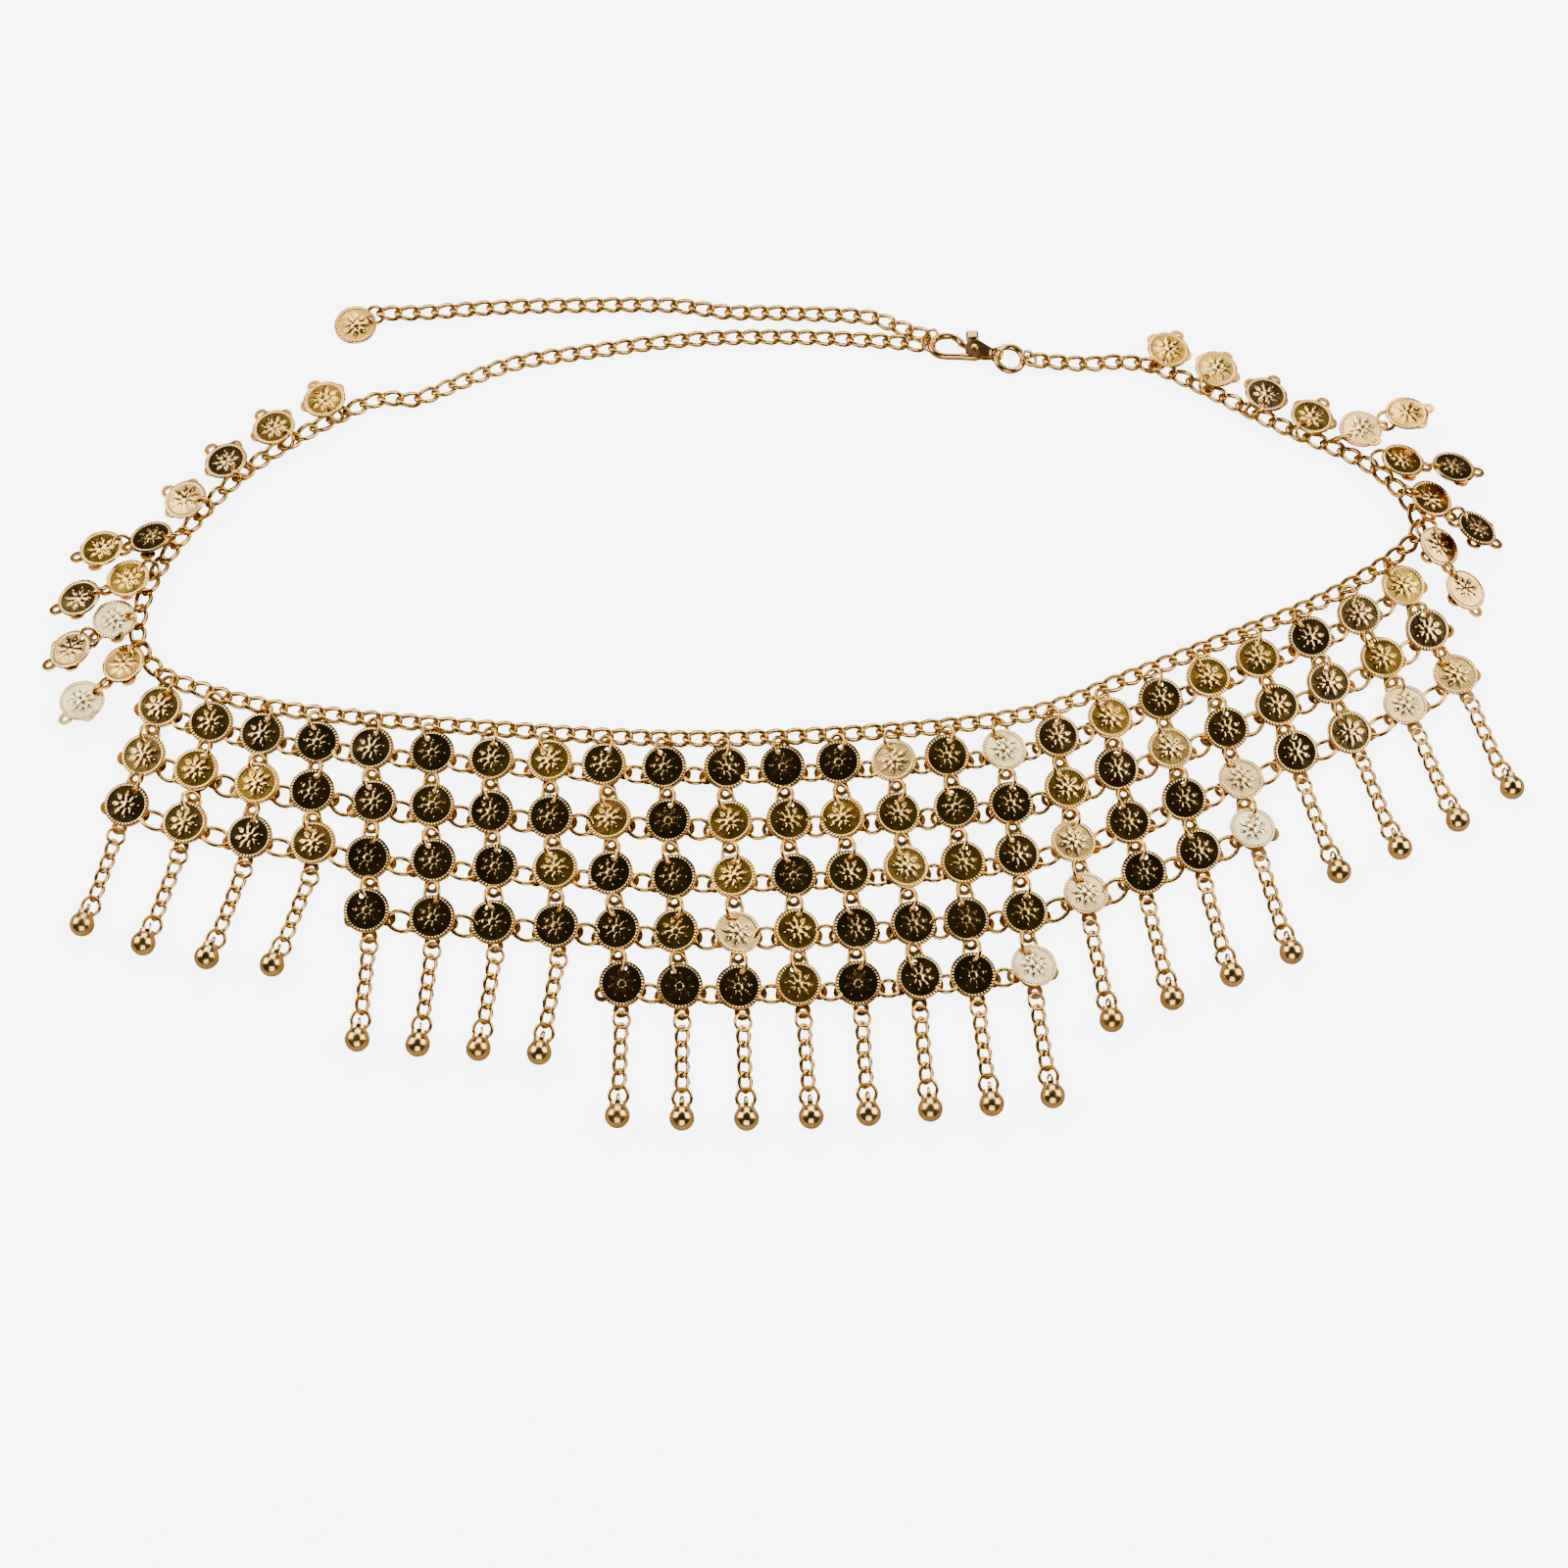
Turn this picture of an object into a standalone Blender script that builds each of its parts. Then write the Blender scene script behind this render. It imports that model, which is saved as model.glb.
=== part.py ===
"""A waist chain laid flat: a curb chain round an open loop, with a net of four-petal plates and coins.

Forty columns hang outward from the chain. Each is a strip of plates linked by rings, with a coin over
every plate, and the columns of three rows or more end in a short chain with a round drop. Behind, the
waist chain runs to a spring clasp on one side and to its ring on the other, and a spare length with a
tag lies beside it. Sizes are in millimetres in the tables and become metres in the meshes.
"""
import math

import bmesh
import bpy
from mathutils import Matrix, Vector

MM = 0.001
GAP = 0.3
NET_CENTRE = (-1.81, 30.21)

# Driving sizes of the stamped and linked pieces
PLATE_REACH = 8.0
PLATE_PETAL_HALF = 2.0
PLATE_VALLEY = 3.3
PLATE_THICKNESS = 1.0
COIN_RADIUS = 7.1
COIN_THICKNESS = 0.9
COIN_TILT = 9.0
COIN_SHIFT = 3.0
COIN_FOOT = 0.6
COIN_SIDES = 10
RING_WIRE = 0.9
RING_HALF = 0.7
RING_RISE = 1.1
SIDE_RING_SHORTEST = 0.9
SIDE_RING_CLEARANCE = 0.36
CHAIN_WIDTH = 4.6
CHAIN_HEIGHT = 1.8
CHAIN_STEP = 12.0
FLAT_WITHIN = math.radians(0.5)
SMOOTH_BELOW = math.radians(40)

# The chain's centre line: from the clasp's hook, round the left, the front and the right, to the ring
CHAIN_ROUTE = (
    (45.6, 154.0), (32, 155.5), (0, 157), (-32, 156), (-64, 151.5), (-87, 147.5), (-104, 141),
    (-120, 134), (-137, 132), (-174, 107.5), (-198, 75), (-204, 52), (-197, 38), (-182, 31),
    (-153, 24), (-92, 18), (-31, 14.5), (31, 17), (77, 23), (108, 35), (139, 48), (171, 62),
    (197, 79), (203, 91), (190, 109), (160, 125), (126, 144), (112, 147.6), (98, 147), (80, 148.6),
)
# The spare length beside it, from the hook to the tag
TAIL_ROUTE = ((47.0, 157.1), (37, 161), (27, 164.6), (0, 166), (-19, 166.4), (-39, 169),
              (-78, 168.8), (-97, 168), (-120, 166.2), (-133.5, 166))
# Each route in near-straight stretches, by the distance along it where a stretch ends
CHAIN_STRETCHES = (
    ("lead_chain_1", 95), ("lead_chain_2", 188), ("waist_chain_1", 256), ("waist_chain_2", 294),
    ("waist_chain_3", 329), ("waist_chain_4", 438), ("waist_chain_5", 573), ("waist_chain_6", 688),
    ("waist_chain_7", 729), ("waist_chain_8", 766), ("waist_chain_9", 842), ("trail_chain", None),
)
TAIL_STRETCHES = (("tail_chain_1", 90), ("tail_chain_2", None))
NET_START = 188.0

# Ten sections of four columns, placed by the distance past NET_START. Angles are in degrees from
# straight forward, plus to the right. Lean lifts the side at the chain, roll lifts one side petal.
SECTION_COLUMNS = ("rows", "start", "end", "out", "row_pitch", "hang_start", "hang_end",
                   "fan_start", "fan_end", "lean", "roll")
SECTIONS = (
    (1, 9.0, 62.0, 8.0, 17.7, -148, -121, 0, 0, 9, 0),
    (2, 75.0, 117.5, 9.5, 16.6, -77, -44, 0, 0, 0, 21),
    (3, 129.0, 178.0, 11.9, 16.8, -13, 1, -14, -18, 0, 0),
    (4, 195.5, 250.0, 12.4, 17.7, 2, 4.5, -3, -9, 0, 0),
    (5, 268.0, 322.5, 12.4, 17.7, 4.5, 4.5, -1, 4, 0, 0),
    (5, 340.0, 391.0, 12.4, 17.7, 4.5, 5.5, 3, 7, 0, 0),
    (4, 407.5, 459.5, 12.4, 17.2, 8, 12, 9, 13, 0, 0),
    (3, 476.5, 528.0, 12.0, 16.8, 15, 25, 16, 18, 0, 0),
    (2, 544.0, 585.0, 11.0, 16.6, 26, 112, 0, 0, 0, -24),
    (1, 596.0, 648.0, 8.0, 17.7, 147, 150, 0, 0, 9, 0),
)
COLUMNS_PER_SECTION = 4
ROWS_WITH_DROP = 3

# A drop, by distance from its plate's edge: half width, and the height of its underside and top
DROP_COLUMNS = ("reach", "half_width", "low", "high")
DROP_SECTIONS = (
    (1.2, 0.7, 0.3, 1.7),
    (3.2, 2.3, 0.2, 1.7),
    (21.3, 2.3, 0.2, 1.7),
    (24.0, 2.9, 0.5, 2.2),
    (27.2, 0.8, 2.5, 4.3),
    (28.7, 2.3, 1.2, 5.8),
    (30.9, 3.5, 0.1, 6.9),
    (34.6, 2.4, 1.2, 5.7),
)

# The clasp: an open oval hook that runs on as a bar to the ring, a cheek under the gate and a pin
PIN = (62.5, 152.2)
PIN_RADIUS = 0.6
PIN_SIDES = 8
HOOK_CENTRE = (53.4, 153.6)
HOOK_RADII = (6.2, 4.9)
HOOK_TURN = (75, 270)
HOOK_STEPS = 7
BAR_END_RISE = 0.2
CLASP_WIRE = 2.2
CLASP_HEIGHT = 2.6
CHEEK_HEIGHT = 0.9
# Outlines measured from the pin
CHEEK_OUTLINE = ((-3.2, -3.2), (4.4, -3.2), (4.4, -0.4), (2.0, 2.0), (-1.6, 2.0), (-3.2, 0.2))
GATE_BOSS_AND_TAB = ((-2.4, -0.9), (-0.6, -2.0), (1.4, -1.4), (2.0, 0.4), (1.0, 2.2), (0.9, 6.8),
                     (-2.4, 6.4), (-2.0, 3.4))
GATE_ARM_HALF = 0.9
GATE_TIP_FROM_HOOK = (1.9, -0.55)

# The round ring that the hook closes on, and the tag with its own small ring
RING_CENTRE = (74.0, 148.9)
RING_OUTER = 5.4
RING_SECTION = 1.9
RING_SIDES = 12
TAG_CENTRE = (-141.5, 162.2)
TAG_SIDES = 12
TAG_RING_INSET = 1.8
TAG_RING_HALVES = (1.2, 1.0)
TAG_RING_HEIGHTS = (0.2, 1.5)
TAG_RING_CLEARANCE = 0.45

GOLD = (0.83, 0.57, 0.22, 1.0)
PALE_GOLD = (0.90, 0.70, 0.38, 1.0)
DARK_GOLD = (0.55, 0.36, 0.13, 1.0)


def remove_everything():
    """Empty the scene."""
    for thing in list(bpy.data.objects):
        bpy.data.objects.remove(thing, do_unlink=True)


def gold(name, colour, roughness):
    """A polished plated metal of the object's own."""
    material = bpy.data.materials.new(name)
    material.use_nodes = True
    shader = material.node_tree.nodes["Principled BSDF"]
    shader.inputs["Base Color"].default_value = colour
    shader.inputs["Metallic"].default_value = 1.0
    shader.inputs["Roughness"].default_value = roughness
    return material


def add_object(name, shape, colour=GOLD, roughness=0.25):
    """Turn a bmesh in millimetres into a named object in metres."""
    bmesh.ops.connect_verts_nonplanar(shape, angle_limit=FLAT_WITHIN, faces=shape.faces)
    bmesh.ops.recalc_face_normals(shape, faces=shape.faces)
    bmesh.ops.scale(shape, vec=(MM, MM, MM), verts=shape.verts)
    mesh = bpy.data.meshes.new(name)
    shape.to_mesh(mesh)
    shape.free()
    mesh.shade_smooth()
    mesh.set_sharp_from_angle(angle=SMOOTH_BELOW)
    thing = bpy.data.objects.new(name, mesh)
    bpy.context.collection.objects.link(thing)
    thing.data.materials.append(gold(name + "_gold", colour, roughness))
    return thing


def join_to(thing, other, operation):
    """Boolean one object with a hidden helper."""
    other.hide_render = True
    other.display_type = "WIRE"
    cut = thing.modifiers.new(operation.lower(), "BOOLEAN")
    cut.operation = operation
    cut.object = other
    cut.solver = "EXACT"


class Route:
    """A smooth line through hand-set points, read by the distance along it."""

    STEPS = 16

    def __init__(self, points):
        """Sample the curve densely and add up its length."""
        ends = [Vector(p) for p in points]
        ends = [2 * ends[0] - ends[1], *ends, 2 * ends[-1] - ends[-2]]
        self.points = []
        for i in range(1, len(ends) - 2):
            for k in range(self.STEPS):
                self.points.append(self.blend(*ends[i - 1:i + 3], k / self.STEPS))
        self.points.append(ends[-2])
        self.along = [0.0]
        for a, b in zip(self.points, self.points[1:]):
            self.along.append(self.along[-1] + (b - a).length)
        self.length = self.along[-1]

    @staticmethod
    def blend(before, a, b, after, t):
        """A point between a and b on the curve that also passes through the other two."""
        return 0.5 * (2 * a + (b - before) * t + (2 * before - 5 * a + 4 * b - after) * t ** 2
                      + (3 * a - before - 3 * b + after) * t ** 3)

    def at(self, distance):
        """The point at that distance along."""
        distance = min(max(distance, 0.0), self.length)
        i = max(k for k, s in enumerate(self.along) if s <= distance)
        i = min(i, len(self.points) - 2)
        share = (distance - self.along[i]) / (self.along[i + 1] - self.along[i])
        return self.points[i].lerp(self.points[i + 1], share)

    def heading(self, distance):
        """The unit direction there."""
        return (self.at(distance + 1.0) - self.at(distance - 1.0)).normalized()


def centred(x, y, z=0.0):
    """A place on the table, measured from the middle of the laid-out chain."""
    return Vector((x - NET_CENTRE[0], y - NET_CENTRE[1], z))


def loft(shape, rings):
    """Join closed rings of equal count into one skin with flat ends."""
    loops = [[shape.verts.new(point) for point in ring] for ring in rings]
    for first, second in zip(loops, loops[1:]):
        for i in range(len(first)):
            j = (i + 1) % len(first)
            shape.faces.new((first[i], first[j], second[j], second[i]))
    shape.faces.new(loops[0][::-1])
    shape.faces.new(loops[-1])


def bar_section(centre, across, half_width, low, high):
    """Four corners of a bar's upright section."""
    side = across * half_width
    return [centre + side * sign + Vector((0, 0, height))
            for sign, height in ((-1, low), (1, low), (1, high), (-1, high))]


def chain_stretch(name, route, start, end):
    """One near-straight stretch of curb chain, a flat bar that narrows to one wire at the hook."""
    at_hook = start == 0
    start += GAP / 2
    end -= GAP / 2
    steps = max(1, round((end - start) / CHAIN_STEP))
    rings = []
    for k in range(steps + 1):
        distance = start + (end - start) * k / steps
        ahead = route.heading(distance)
        across = Vector((ahead.y, -ahead.x, 0))
        half_width = RING_WIRE if at_hook and k == 0 else CHAIN_WIDTH / 2
        rings.append(bar_section(centred(*route.at(distance)), across, half_width, 0.0,
                                 CHAIN_HEIGHT))
    shape = bmesh.new()
    loft(shape, rings)
    add_object(name, shape, PALE_GOLD, 0.22)


def chain_run(route, stretches):
    """All stretches of one chain."""
    start = 0
    for name, end in stretches:
        end = route.length if end is None else end
        chain_stretch(name, route, start, end)
        start = end


class Column:
    """One hanging strip of the net: where it hangs and how it lies."""

    def __init__(self, number, section, place, route):
        """Read the section's row of the table at this column's share of it."""
        row = dict(zip(SECTION_COLUMNS, SECTIONS[section]))
        share = place / (COLUMNS_PER_SECTION - 1)
        self.number = number
        self.rows = row["rows"]
        self.out = row["out"]
        self.row_pitch = row["row_pitch"]
        self.lean = math.radians(row["lean"])
        self.roll = math.radians(row["roll"])
        self.hang = math.radians(row["hang_start"] + share * (row["hang_end"] - row["hang_start"]))
        self.fan = math.radians(row["fan_start"] + share * (row["fan_end"] - row["fan_start"]))
        anchor = route.at(NET_START + row["start"] + share * (row["end"] - row["start"]))
        lean_lift = (self.out + PLATE_REACH) * math.sin(self.lean)
        roll_lift = PLATE_REACH * math.sin(abs(self.roll)) + (GAP / 10 if self.roll else 0)
        self.place = (
            Matrix.Translation(centred(*anchor, lean_lift + roll_lift))
            @ Matrix.Rotation(self.hang, 4, "Z")
            @ Matrix.Rotation(self.lean, 4, "X")
            @ Matrix.Rotation(-self.roll, 4, "Y")
        )
        self.lies_flat = not self.roll and not self.lean
        self.right = None

    def row_y(self, row):
        """How far the plate of a row lies below the chain, as a local y."""
        return -(self.out + row * self.row_pitch)

    def side_ring_tip(self, row):
        """The local place where the ring to the next column ends, or None."""
        if self.right is None or row >= self.right.rows or self.roll or self.right.roll:
            return None
        petal_end = Vector((PLATE_REACH, self.row_y(row), 0))
        next_end = Vector((-PLATE_REACH, self.right.row_y(row), 0))
        span = self.place.inverted() @ self.right.place @ next_end - petal_end
        span.z = 0
        if span.length < SIDE_RING_SHORTEST or span.x < 2 * GAP:
            return None
        return petal_end + span * (1 - SIDE_RING_CLEARANCE / span.length)


# Where the upper petal's two corners stand in the outline, counted from its end
TOP_RIGHT = -7
TOP_LEFT = -6


def plate_outline(centre_y, tip):
    """A four-petal plate's corners from its lower right petal round, with a ring tip on the right."""
    reach, half, valley = PLATE_REACH, PLATE_PETAL_HALF, PLATE_VALLEY
    corners = [Vector((half, centre_y - reach, 0)), Vector((valley, centre_y - valley, 0)),
               Vector((reach, centre_y - half, 0))]
    if tip is not None:
        corners.append(tip)
    corners += [Vector((reach, centre_y + half, 0)), Vector((valley, centre_y + valley, 0)),
                Vector((half, centre_y + reach, 0)), Vector((-half, centre_y + reach, 0)),
                Vector((-valley, centre_y + valley, 0)), Vector((-reach, centre_y + half, 0)),
                Vector((-reach, centre_y - half, 0)), Vector((-valley, centre_y - valley, 0)),
                Vector((-half, centre_y - reach, 0))]
    return corners


def strip_plan(shape, column):
    """Draw the plates and the rings between them as one flat region.

    Returns the corners of the rings between rows, and the two corner pairs of the ring at the chain.
    """
    raised = []
    arm = []
    above = None
    for row in range(column.rows):
        y = column.row_y(row)
        outline = plate_outline(y, column.side_ring_tip(row))
        corners = [shape.verts.new(point) for point in outline]
        shape.faces.new(corners)
        top_right, top_left = corners[TOP_RIGHT], corners[TOP_LEFT]
        if above is not None:
            middle = (above[0].co.y + top_right.co.y) / 2
            pair = [shape.verts.new((x, middle, 0)) for x in (RING_HALF, -RING_HALF)]
            shape.faces.new((top_right, pair[0], pair[1], top_left))
            shape.faces.new((pair[0], above[0], above[1], pair[1]))
            raised += pair
        elif column.lies_flat:
            foot = y + PLATE_REACH
            bend = foot + RING_WIRE + GAP / 3
            shoulder = [shape.verts.new((x, bend, 0)) for x in (RING_HALF, -RING_HALF)]
            end = [shape.verts.new((x, RING_WIRE, 0)) for x in (RING_HALF, -RING_HALF)]
            shape.faces.new((top_right, shoulder[0], shoulder[1], top_left))
            shape.faces.new((shoulder[0], end[0], end[1], shoulder[1]))
            arm = [shoulder, end]
        above = (corners[0], corners[-1])
    return raised, arm


def strip_body(column):
    """Raise the plan to the plates' thickness and lift the rings clear of the plates and chain."""
    shape = bmesh.new()
    raised, arm = strip_plan(shape, column)
    under = list(shape.verts)
    lifted = bmesh.ops.extrude_face_region(shape, geom=list(shape.faces), use_keep_orig=True)
    over = [item for item in lifted["geom"] if isinstance(item, bmesh.types.BMVert)]
    top_of = {}
    for vert in over:
        top_of[tuple(vert.co)] = vert
    pairs = {vert: top_of[tuple(vert.co)] for vert in under}
    bmesh.ops.translate(shape, verts=over, vec=(0, 0, PLATE_THICKNESS))
    for vert in raised:
        vert.co.z += RING_RISE
        pairs[vert].co.z += RING_RISE
    arm_low = CHAIN_HEIGHT + GAP
    for pair in arm:
        for vert in pair:
            vert.co.z = arm_low
            pairs[vert].co.z = arm_low + RING_WIRE
    if arm:
        for vert in arm[0]:
            pairs[vert].co.y -= RING_WIRE
    return shape


def add_drop(shape, column):
    """Lengthen the last petal into the ring, the short chain and the round drop."""
    foot_y = column.row_y(column.rows - 1) - PLATE_REACH
    face = next(face for face in shape.faces
                if all(abs(vert.co.y - foot_y) < GAP / 10 for vert in face.verts))
    turn = Matrix.Rotation(column.fan - column.hang, 3, "Z")
    start = Vector((0, foot_y, 0))
    for values in DROP_SECTIONS:
        size = dict(zip(DROP_COLUMNS, values))
        grown = bmesh.ops.extrude_face_region(shape, geom=[face])
        shape.faces.remove(face)
        face = [item for item in grown["geom"] if isinstance(item, bmesh.types.BMFace)][0]
        middle = sum((vert.co for vert in face.verts), Vector()) / len(face.verts)
        for vert in face.verts:
            side = 1 if (turn.inverted() @ (vert.co - middle)).x > 0 else -1
            height = size["high"] if vert.co.z > middle.z else size["low"]
            place = start + turn @ Vector((side * size["half_width"], -size["reach"], 0))
            vert.co = (place.x, place.y, height)


def coins_of(column):
    """The column's coins as one helper, each tilted with its lower edge sunk in its plate."""
    shape = bmesh.new()
    tilt = math.radians(COIN_TILT)
    middle_z = COIN_FOOT + COIN_RADIUS * math.sin(tilt) + COIN_THICKNESS / 2 * math.cos(tilt)
    for row in range(column.rows):
        centre = Matrix.Translation((0, column.row_y(row) + COIN_SHIFT, middle_z))
        half_step = Matrix.Rotation(math.pi / COIN_SIDES, 4, "Z")
        bmesh.ops.create_cone(shape, cap_ends=True, segments=COIN_SIDES, radius1=COIN_RADIUS,
                              radius2=COIN_RADIUS, depth=COIN_THICKNESS,
                              matrix=centre @ Matrix.Rotation(tilt, 4, "X") @ half_step)
    return shape


def scaled_place(place):
    """The same placing in metres."""
    location, rotation, _ = place.decompose()
    return Matrix.Translation(location * MM) @ rotation.to_matrix().to_4x4()


def hang_column(column):
    """Build one strip of the net and lay it in its place."""
    name = f"coin_column_{column.number:02d}"
    shape = strip_body(column)
    if column.rows >= ROWS_WITH_DROP:
        add_drop(shape, column)
    strip = add_object(name, shape)
    coins = add_object(name + "_coins", coins_of(column), DARK_GOLD, 0.15)
    strip.matrix_world = scaled_place(column.place)
    coins.matrix_world = strip.matrix_world
    join_to(strip, coins, "UNION")


def hang_columns(route):
    """All forty columns, each knowing its right-hand neighbour."""
    columns = []
    for section in range(len(SECTIONS)):
        for place in range(COLUMNS_PER_SECTION):
            columns.append(Column(len(columns) + 1, section, place, route))
    for column, neighbour in zip(columns, columns[1:]):
        column.right = neighbour
    for column in columns:
        hang_column(column)


def slab(shape, outline, low, high):
    """An upright block of any outline."""
    loft(shape, [[Vector((x, y, z)) for x, y in outline] for z in (low, high)])


def round_outline(centre, radius, sides, start=0.0):
    """The corners of a regular outline."""
    return [(centre[0] + radius * math.cos(start + 2 * math.pi * k / sides),
             centre[1] + radius * math.sin(start + 2 * math.pi * k / sides)) for k in range(sides)]


def clasp_body():
    """The hook, the bar under the eye, the cheek beneath the gate and the gate's pin."""
    centre = centred(*HOOK_CENTRE)
    first, last = (math.radians(turn) for turn in HOOK_TURN)
    line = []
    for k in range(HOOK_STEPS + 1):
        angle = first + (last - first) * k / HOOK_STEPS
        line.append(centre + Vector((HOOK_RADII[0] * math.cos(angle),
                                     HOOK_RADII[1] * math.sin(angle), 0)))
    bar_end = centred(RING_CENTRE[0] - RING_OUTER - GAP, 0)
    bar_end.y = line[-1].y + BAR_END_RISE
    line.append(bar_end)
    rings = []
    for i, point in enumerate(line):
        ahead = (line[min(i + 1, len(line) - 1)] - line[max(i - 1, 0)]).normalized()
        across = Vector((ahead.y, -ahead.x, 0))
        rings.append(bar_section(point, across, CLASP_WIRE / 2, 0.0, CLASP_HEIGHT))
    shape = bmesh.new()
    loft(shape, rings)
    body = add_object("clasp_body", shape)
    pin = centred(*PIN)
    cheek = bmesh.new()
    slab(cheek, [(pin.x + x, pin.y + y) for x, y in CHEEK_OUTLINE], 0.0, CHEEK_HEIGHT)
    join_to(body, add_object("clasp_cheek", cheek), "UNION")
    post = bmesh.new()
    slab(post, round_outline(pin, PIN_RADIUS, PIN_SIDES), CHEEK_HEIGHT / 2, CLASP_HEIGHT)
    join_to(body, add_object("clasp_pin", post), "UNION")
    return line[0]


def clasp_gate(hook_tip):
    """The lever that shuts the hook: an arm, a boss round the pin and a thumb tab."""
    pin = centred(*PIN)
    tip = hook_tip + Vector((*GATE_TIP_FROM_HOOK, 0)) - pin
    across = Vector((tip.y, -tip.x, 0)).normalized() * GATE_ARM_HALF
    outline = [(tip + across)[:2], (tip - across)[:2], *GATE_BOSS_AND_TAB]
    low = CHEEK_HEIGHT + GAP
    shape = bmesh.new()
    slab(shape, outline, low, CLASP_HEIGHT)
    gate = add_object("clasp_gate", shape, DARK_GOLD)
    gate.location = pin * MM
    hole = bmesh.new()
    slab(hole, round_outline(pin, PIN_RADIUS + GAP, PIN_SIDES), 0.0, 2 * CLASP_HEIGHT)
    join_to(gate, add_object("gate_hole", hole), "DIFFERENCE")


def clasp_ring():
    """The round ring that the hook closes on, at the end of the trailing chain."""
    centre = centred(*RING_CENTRE)
    inner = RING_OUTER - RING_SECTION
    section = ((inner, 0.0), (RING_OUTER, 0.0), (RING_OUTER, RING_SECTION), (inner, RING_SECTION))
    shape = bmesh.new()
    loops = []
    for k in range(RING_SIDES):
        angle = 2 * math.pi * k / RING_SIDES
        loops.append([shape.verts.new(centre + Vector((radius * math.cos(angle),
                                                       radius * math.sin(angle), height)))
                      for radius, height in section])
    for k, first in enumerate(loops):
        second = loops[(k + 1) % RING_SIDES]
        for i in range(len(section)):
            j = (i + 1) % len(section)
            shape.faces.new((first[i], first[j], second[j], second[i]))
    add_object("clasp_ring", shape, PALE_GOLD)


def end_tag():
    """The coin at the end of the spare length, with the ring that holds it."""
    centre = centred(*TAG_CENTRE)
    last = centred(*TAIL_ROUTE[-1])
    shape = bmesh.new()
    slab(shape, round_outline(centre, COIN_RADIUS, TAG_SIDES), 0.0, COIN_THICKNESS)
    tag = add_object("end_tag", shape, DARK_GOLD)
    ring = bmesh.new()
    ahead = (last - centre).normalized()
    across = Vector((ahead.y, -ahead.x, 0))
    wide, narrow = TAG_RING_HALVES
    loft(ring, [bar_section(centre + ahead * (COIN_RADIUS - TAG_RING_INSET), across, wide,
                            *TAG_RING_HEIGHTS),
                bar_section(last - ahead * TAG_RING_CLEARANCE, across, narrow, *TAG_RING_HEIGHTS)])
    join_to(tag, add_object("tag_ring", ring), "UNION")


def main():
    """Build the chains, the net and the clasp."""
    remove_everything()
    route = Route(CHAIN_ROUTE)
    chain_run(route, CHAIN_STRETCHES)
    chain_run(Route(TAIL_ROUTE), TAIL_STRETCHES)
    hang_columns(route)
    clasp_gate(clasp_body())
    clasp_ring()
    end_tag()


main()
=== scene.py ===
"""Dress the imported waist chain: links, jump rings, pressed coins, petal plates, drops and clasp.

The chain's line and the net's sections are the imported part's own, so every piece lies where its
solid does. Lengths in the tables and in the dataclasses are millimetres, angles are degrees and
meshes are metres.
"""
import logging
import math
import random
from dataclasses import dataclass, field
from enum import Enum
from typing import Callable, NamedTuple, Optional, Sequence

import bmesh
import bpy
from mathutils import Matrix, Vector

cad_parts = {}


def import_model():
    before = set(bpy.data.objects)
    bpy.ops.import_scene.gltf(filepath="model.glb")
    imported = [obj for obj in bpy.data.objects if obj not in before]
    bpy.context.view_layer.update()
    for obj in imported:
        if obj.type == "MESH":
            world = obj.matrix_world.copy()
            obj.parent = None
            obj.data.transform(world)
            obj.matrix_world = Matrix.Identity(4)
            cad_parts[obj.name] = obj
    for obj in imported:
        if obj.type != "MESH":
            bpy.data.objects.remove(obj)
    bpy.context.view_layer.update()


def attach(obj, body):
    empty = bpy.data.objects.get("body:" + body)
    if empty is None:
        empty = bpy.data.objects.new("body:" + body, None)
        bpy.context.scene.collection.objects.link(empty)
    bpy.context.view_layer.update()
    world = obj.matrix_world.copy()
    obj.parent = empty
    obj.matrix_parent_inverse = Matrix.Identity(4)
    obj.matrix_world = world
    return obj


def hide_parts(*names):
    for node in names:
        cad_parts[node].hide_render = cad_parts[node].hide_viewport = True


LOG = logging.getLogger("waist_chain")

MM = 0.001
NET_CENTRE = (-1.81, 30.21)
# A face looks a way, or lies level, where its normal reaches this far that way
SIDEWAYS = 0.7
UPWARD = 0.9
LEVEL = 0.99

Piece = bpy.types.Object
Mesh = bpy.types.Mesh
Material = bpy.types.Material
Tree = bpy.types.NodeTree
Node = bpy.types.Node
Socket = bpy.types.NodeSocket
Pair = tuple[float, float]
Spot = tuple[float, float, float]
Colour = tuple[float, float, float]

# The chain's centre line, from the clasp's hook by the left, the front and the right to its ring
CHAIN_ROUTE = (
    (45.6, 154.0), (32, 155.5), (0, 157), (-32, 156), (-64, 151.5), (-87, 147.5), (-104, 141),
    (-120, 134), (-137, 132), (-174, 107.5), (-198, 75), (-204, 52), (-197, 38), (-182, 31),
    (-153, 24), (-92, 18), (-31, 14.5), (31, 17), (77, 23), (108, 35), (139, 48), (171, 62),
    (197, 79), (203, 91), (190, 109), (160, 125), (126, 144), (112, 147.6), (98, 147), (80, 148.6),
)
# The spare length beside it, from the hook to the tag
TAIL_ROUTE = ((47.0, 157.1), (37, 161), (27, 164.6), (0, 166), (-19, 166.4), (-39, 169),
              (-78, 168.8), (-97, 168), (-120, 166.2), (-133.5, 166))
# Each route in near-straight stretches, by the distance along it where a stretch ends
CHAIN_STRETCHES = (
    ("lead_chain_1", 95), ("lead_chain_2", 188), ("waist_chain_1", 256), ("waist_chain_2", 294),
    ("waist_chain_3", 329), ("waist_chain_4", 438), ("waist_chain_5", 573), ("waist_chain_6", 688),
    ("waist_chain_7", 729), ("waist_chain_8", 766), ("waist_chain_9", 842), ("trail_chain", None),
)
TAIL_STRETCHES = (("tail_chain_1", 90), ("tail_chain_2", None))
NET_START = 188.0

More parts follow.
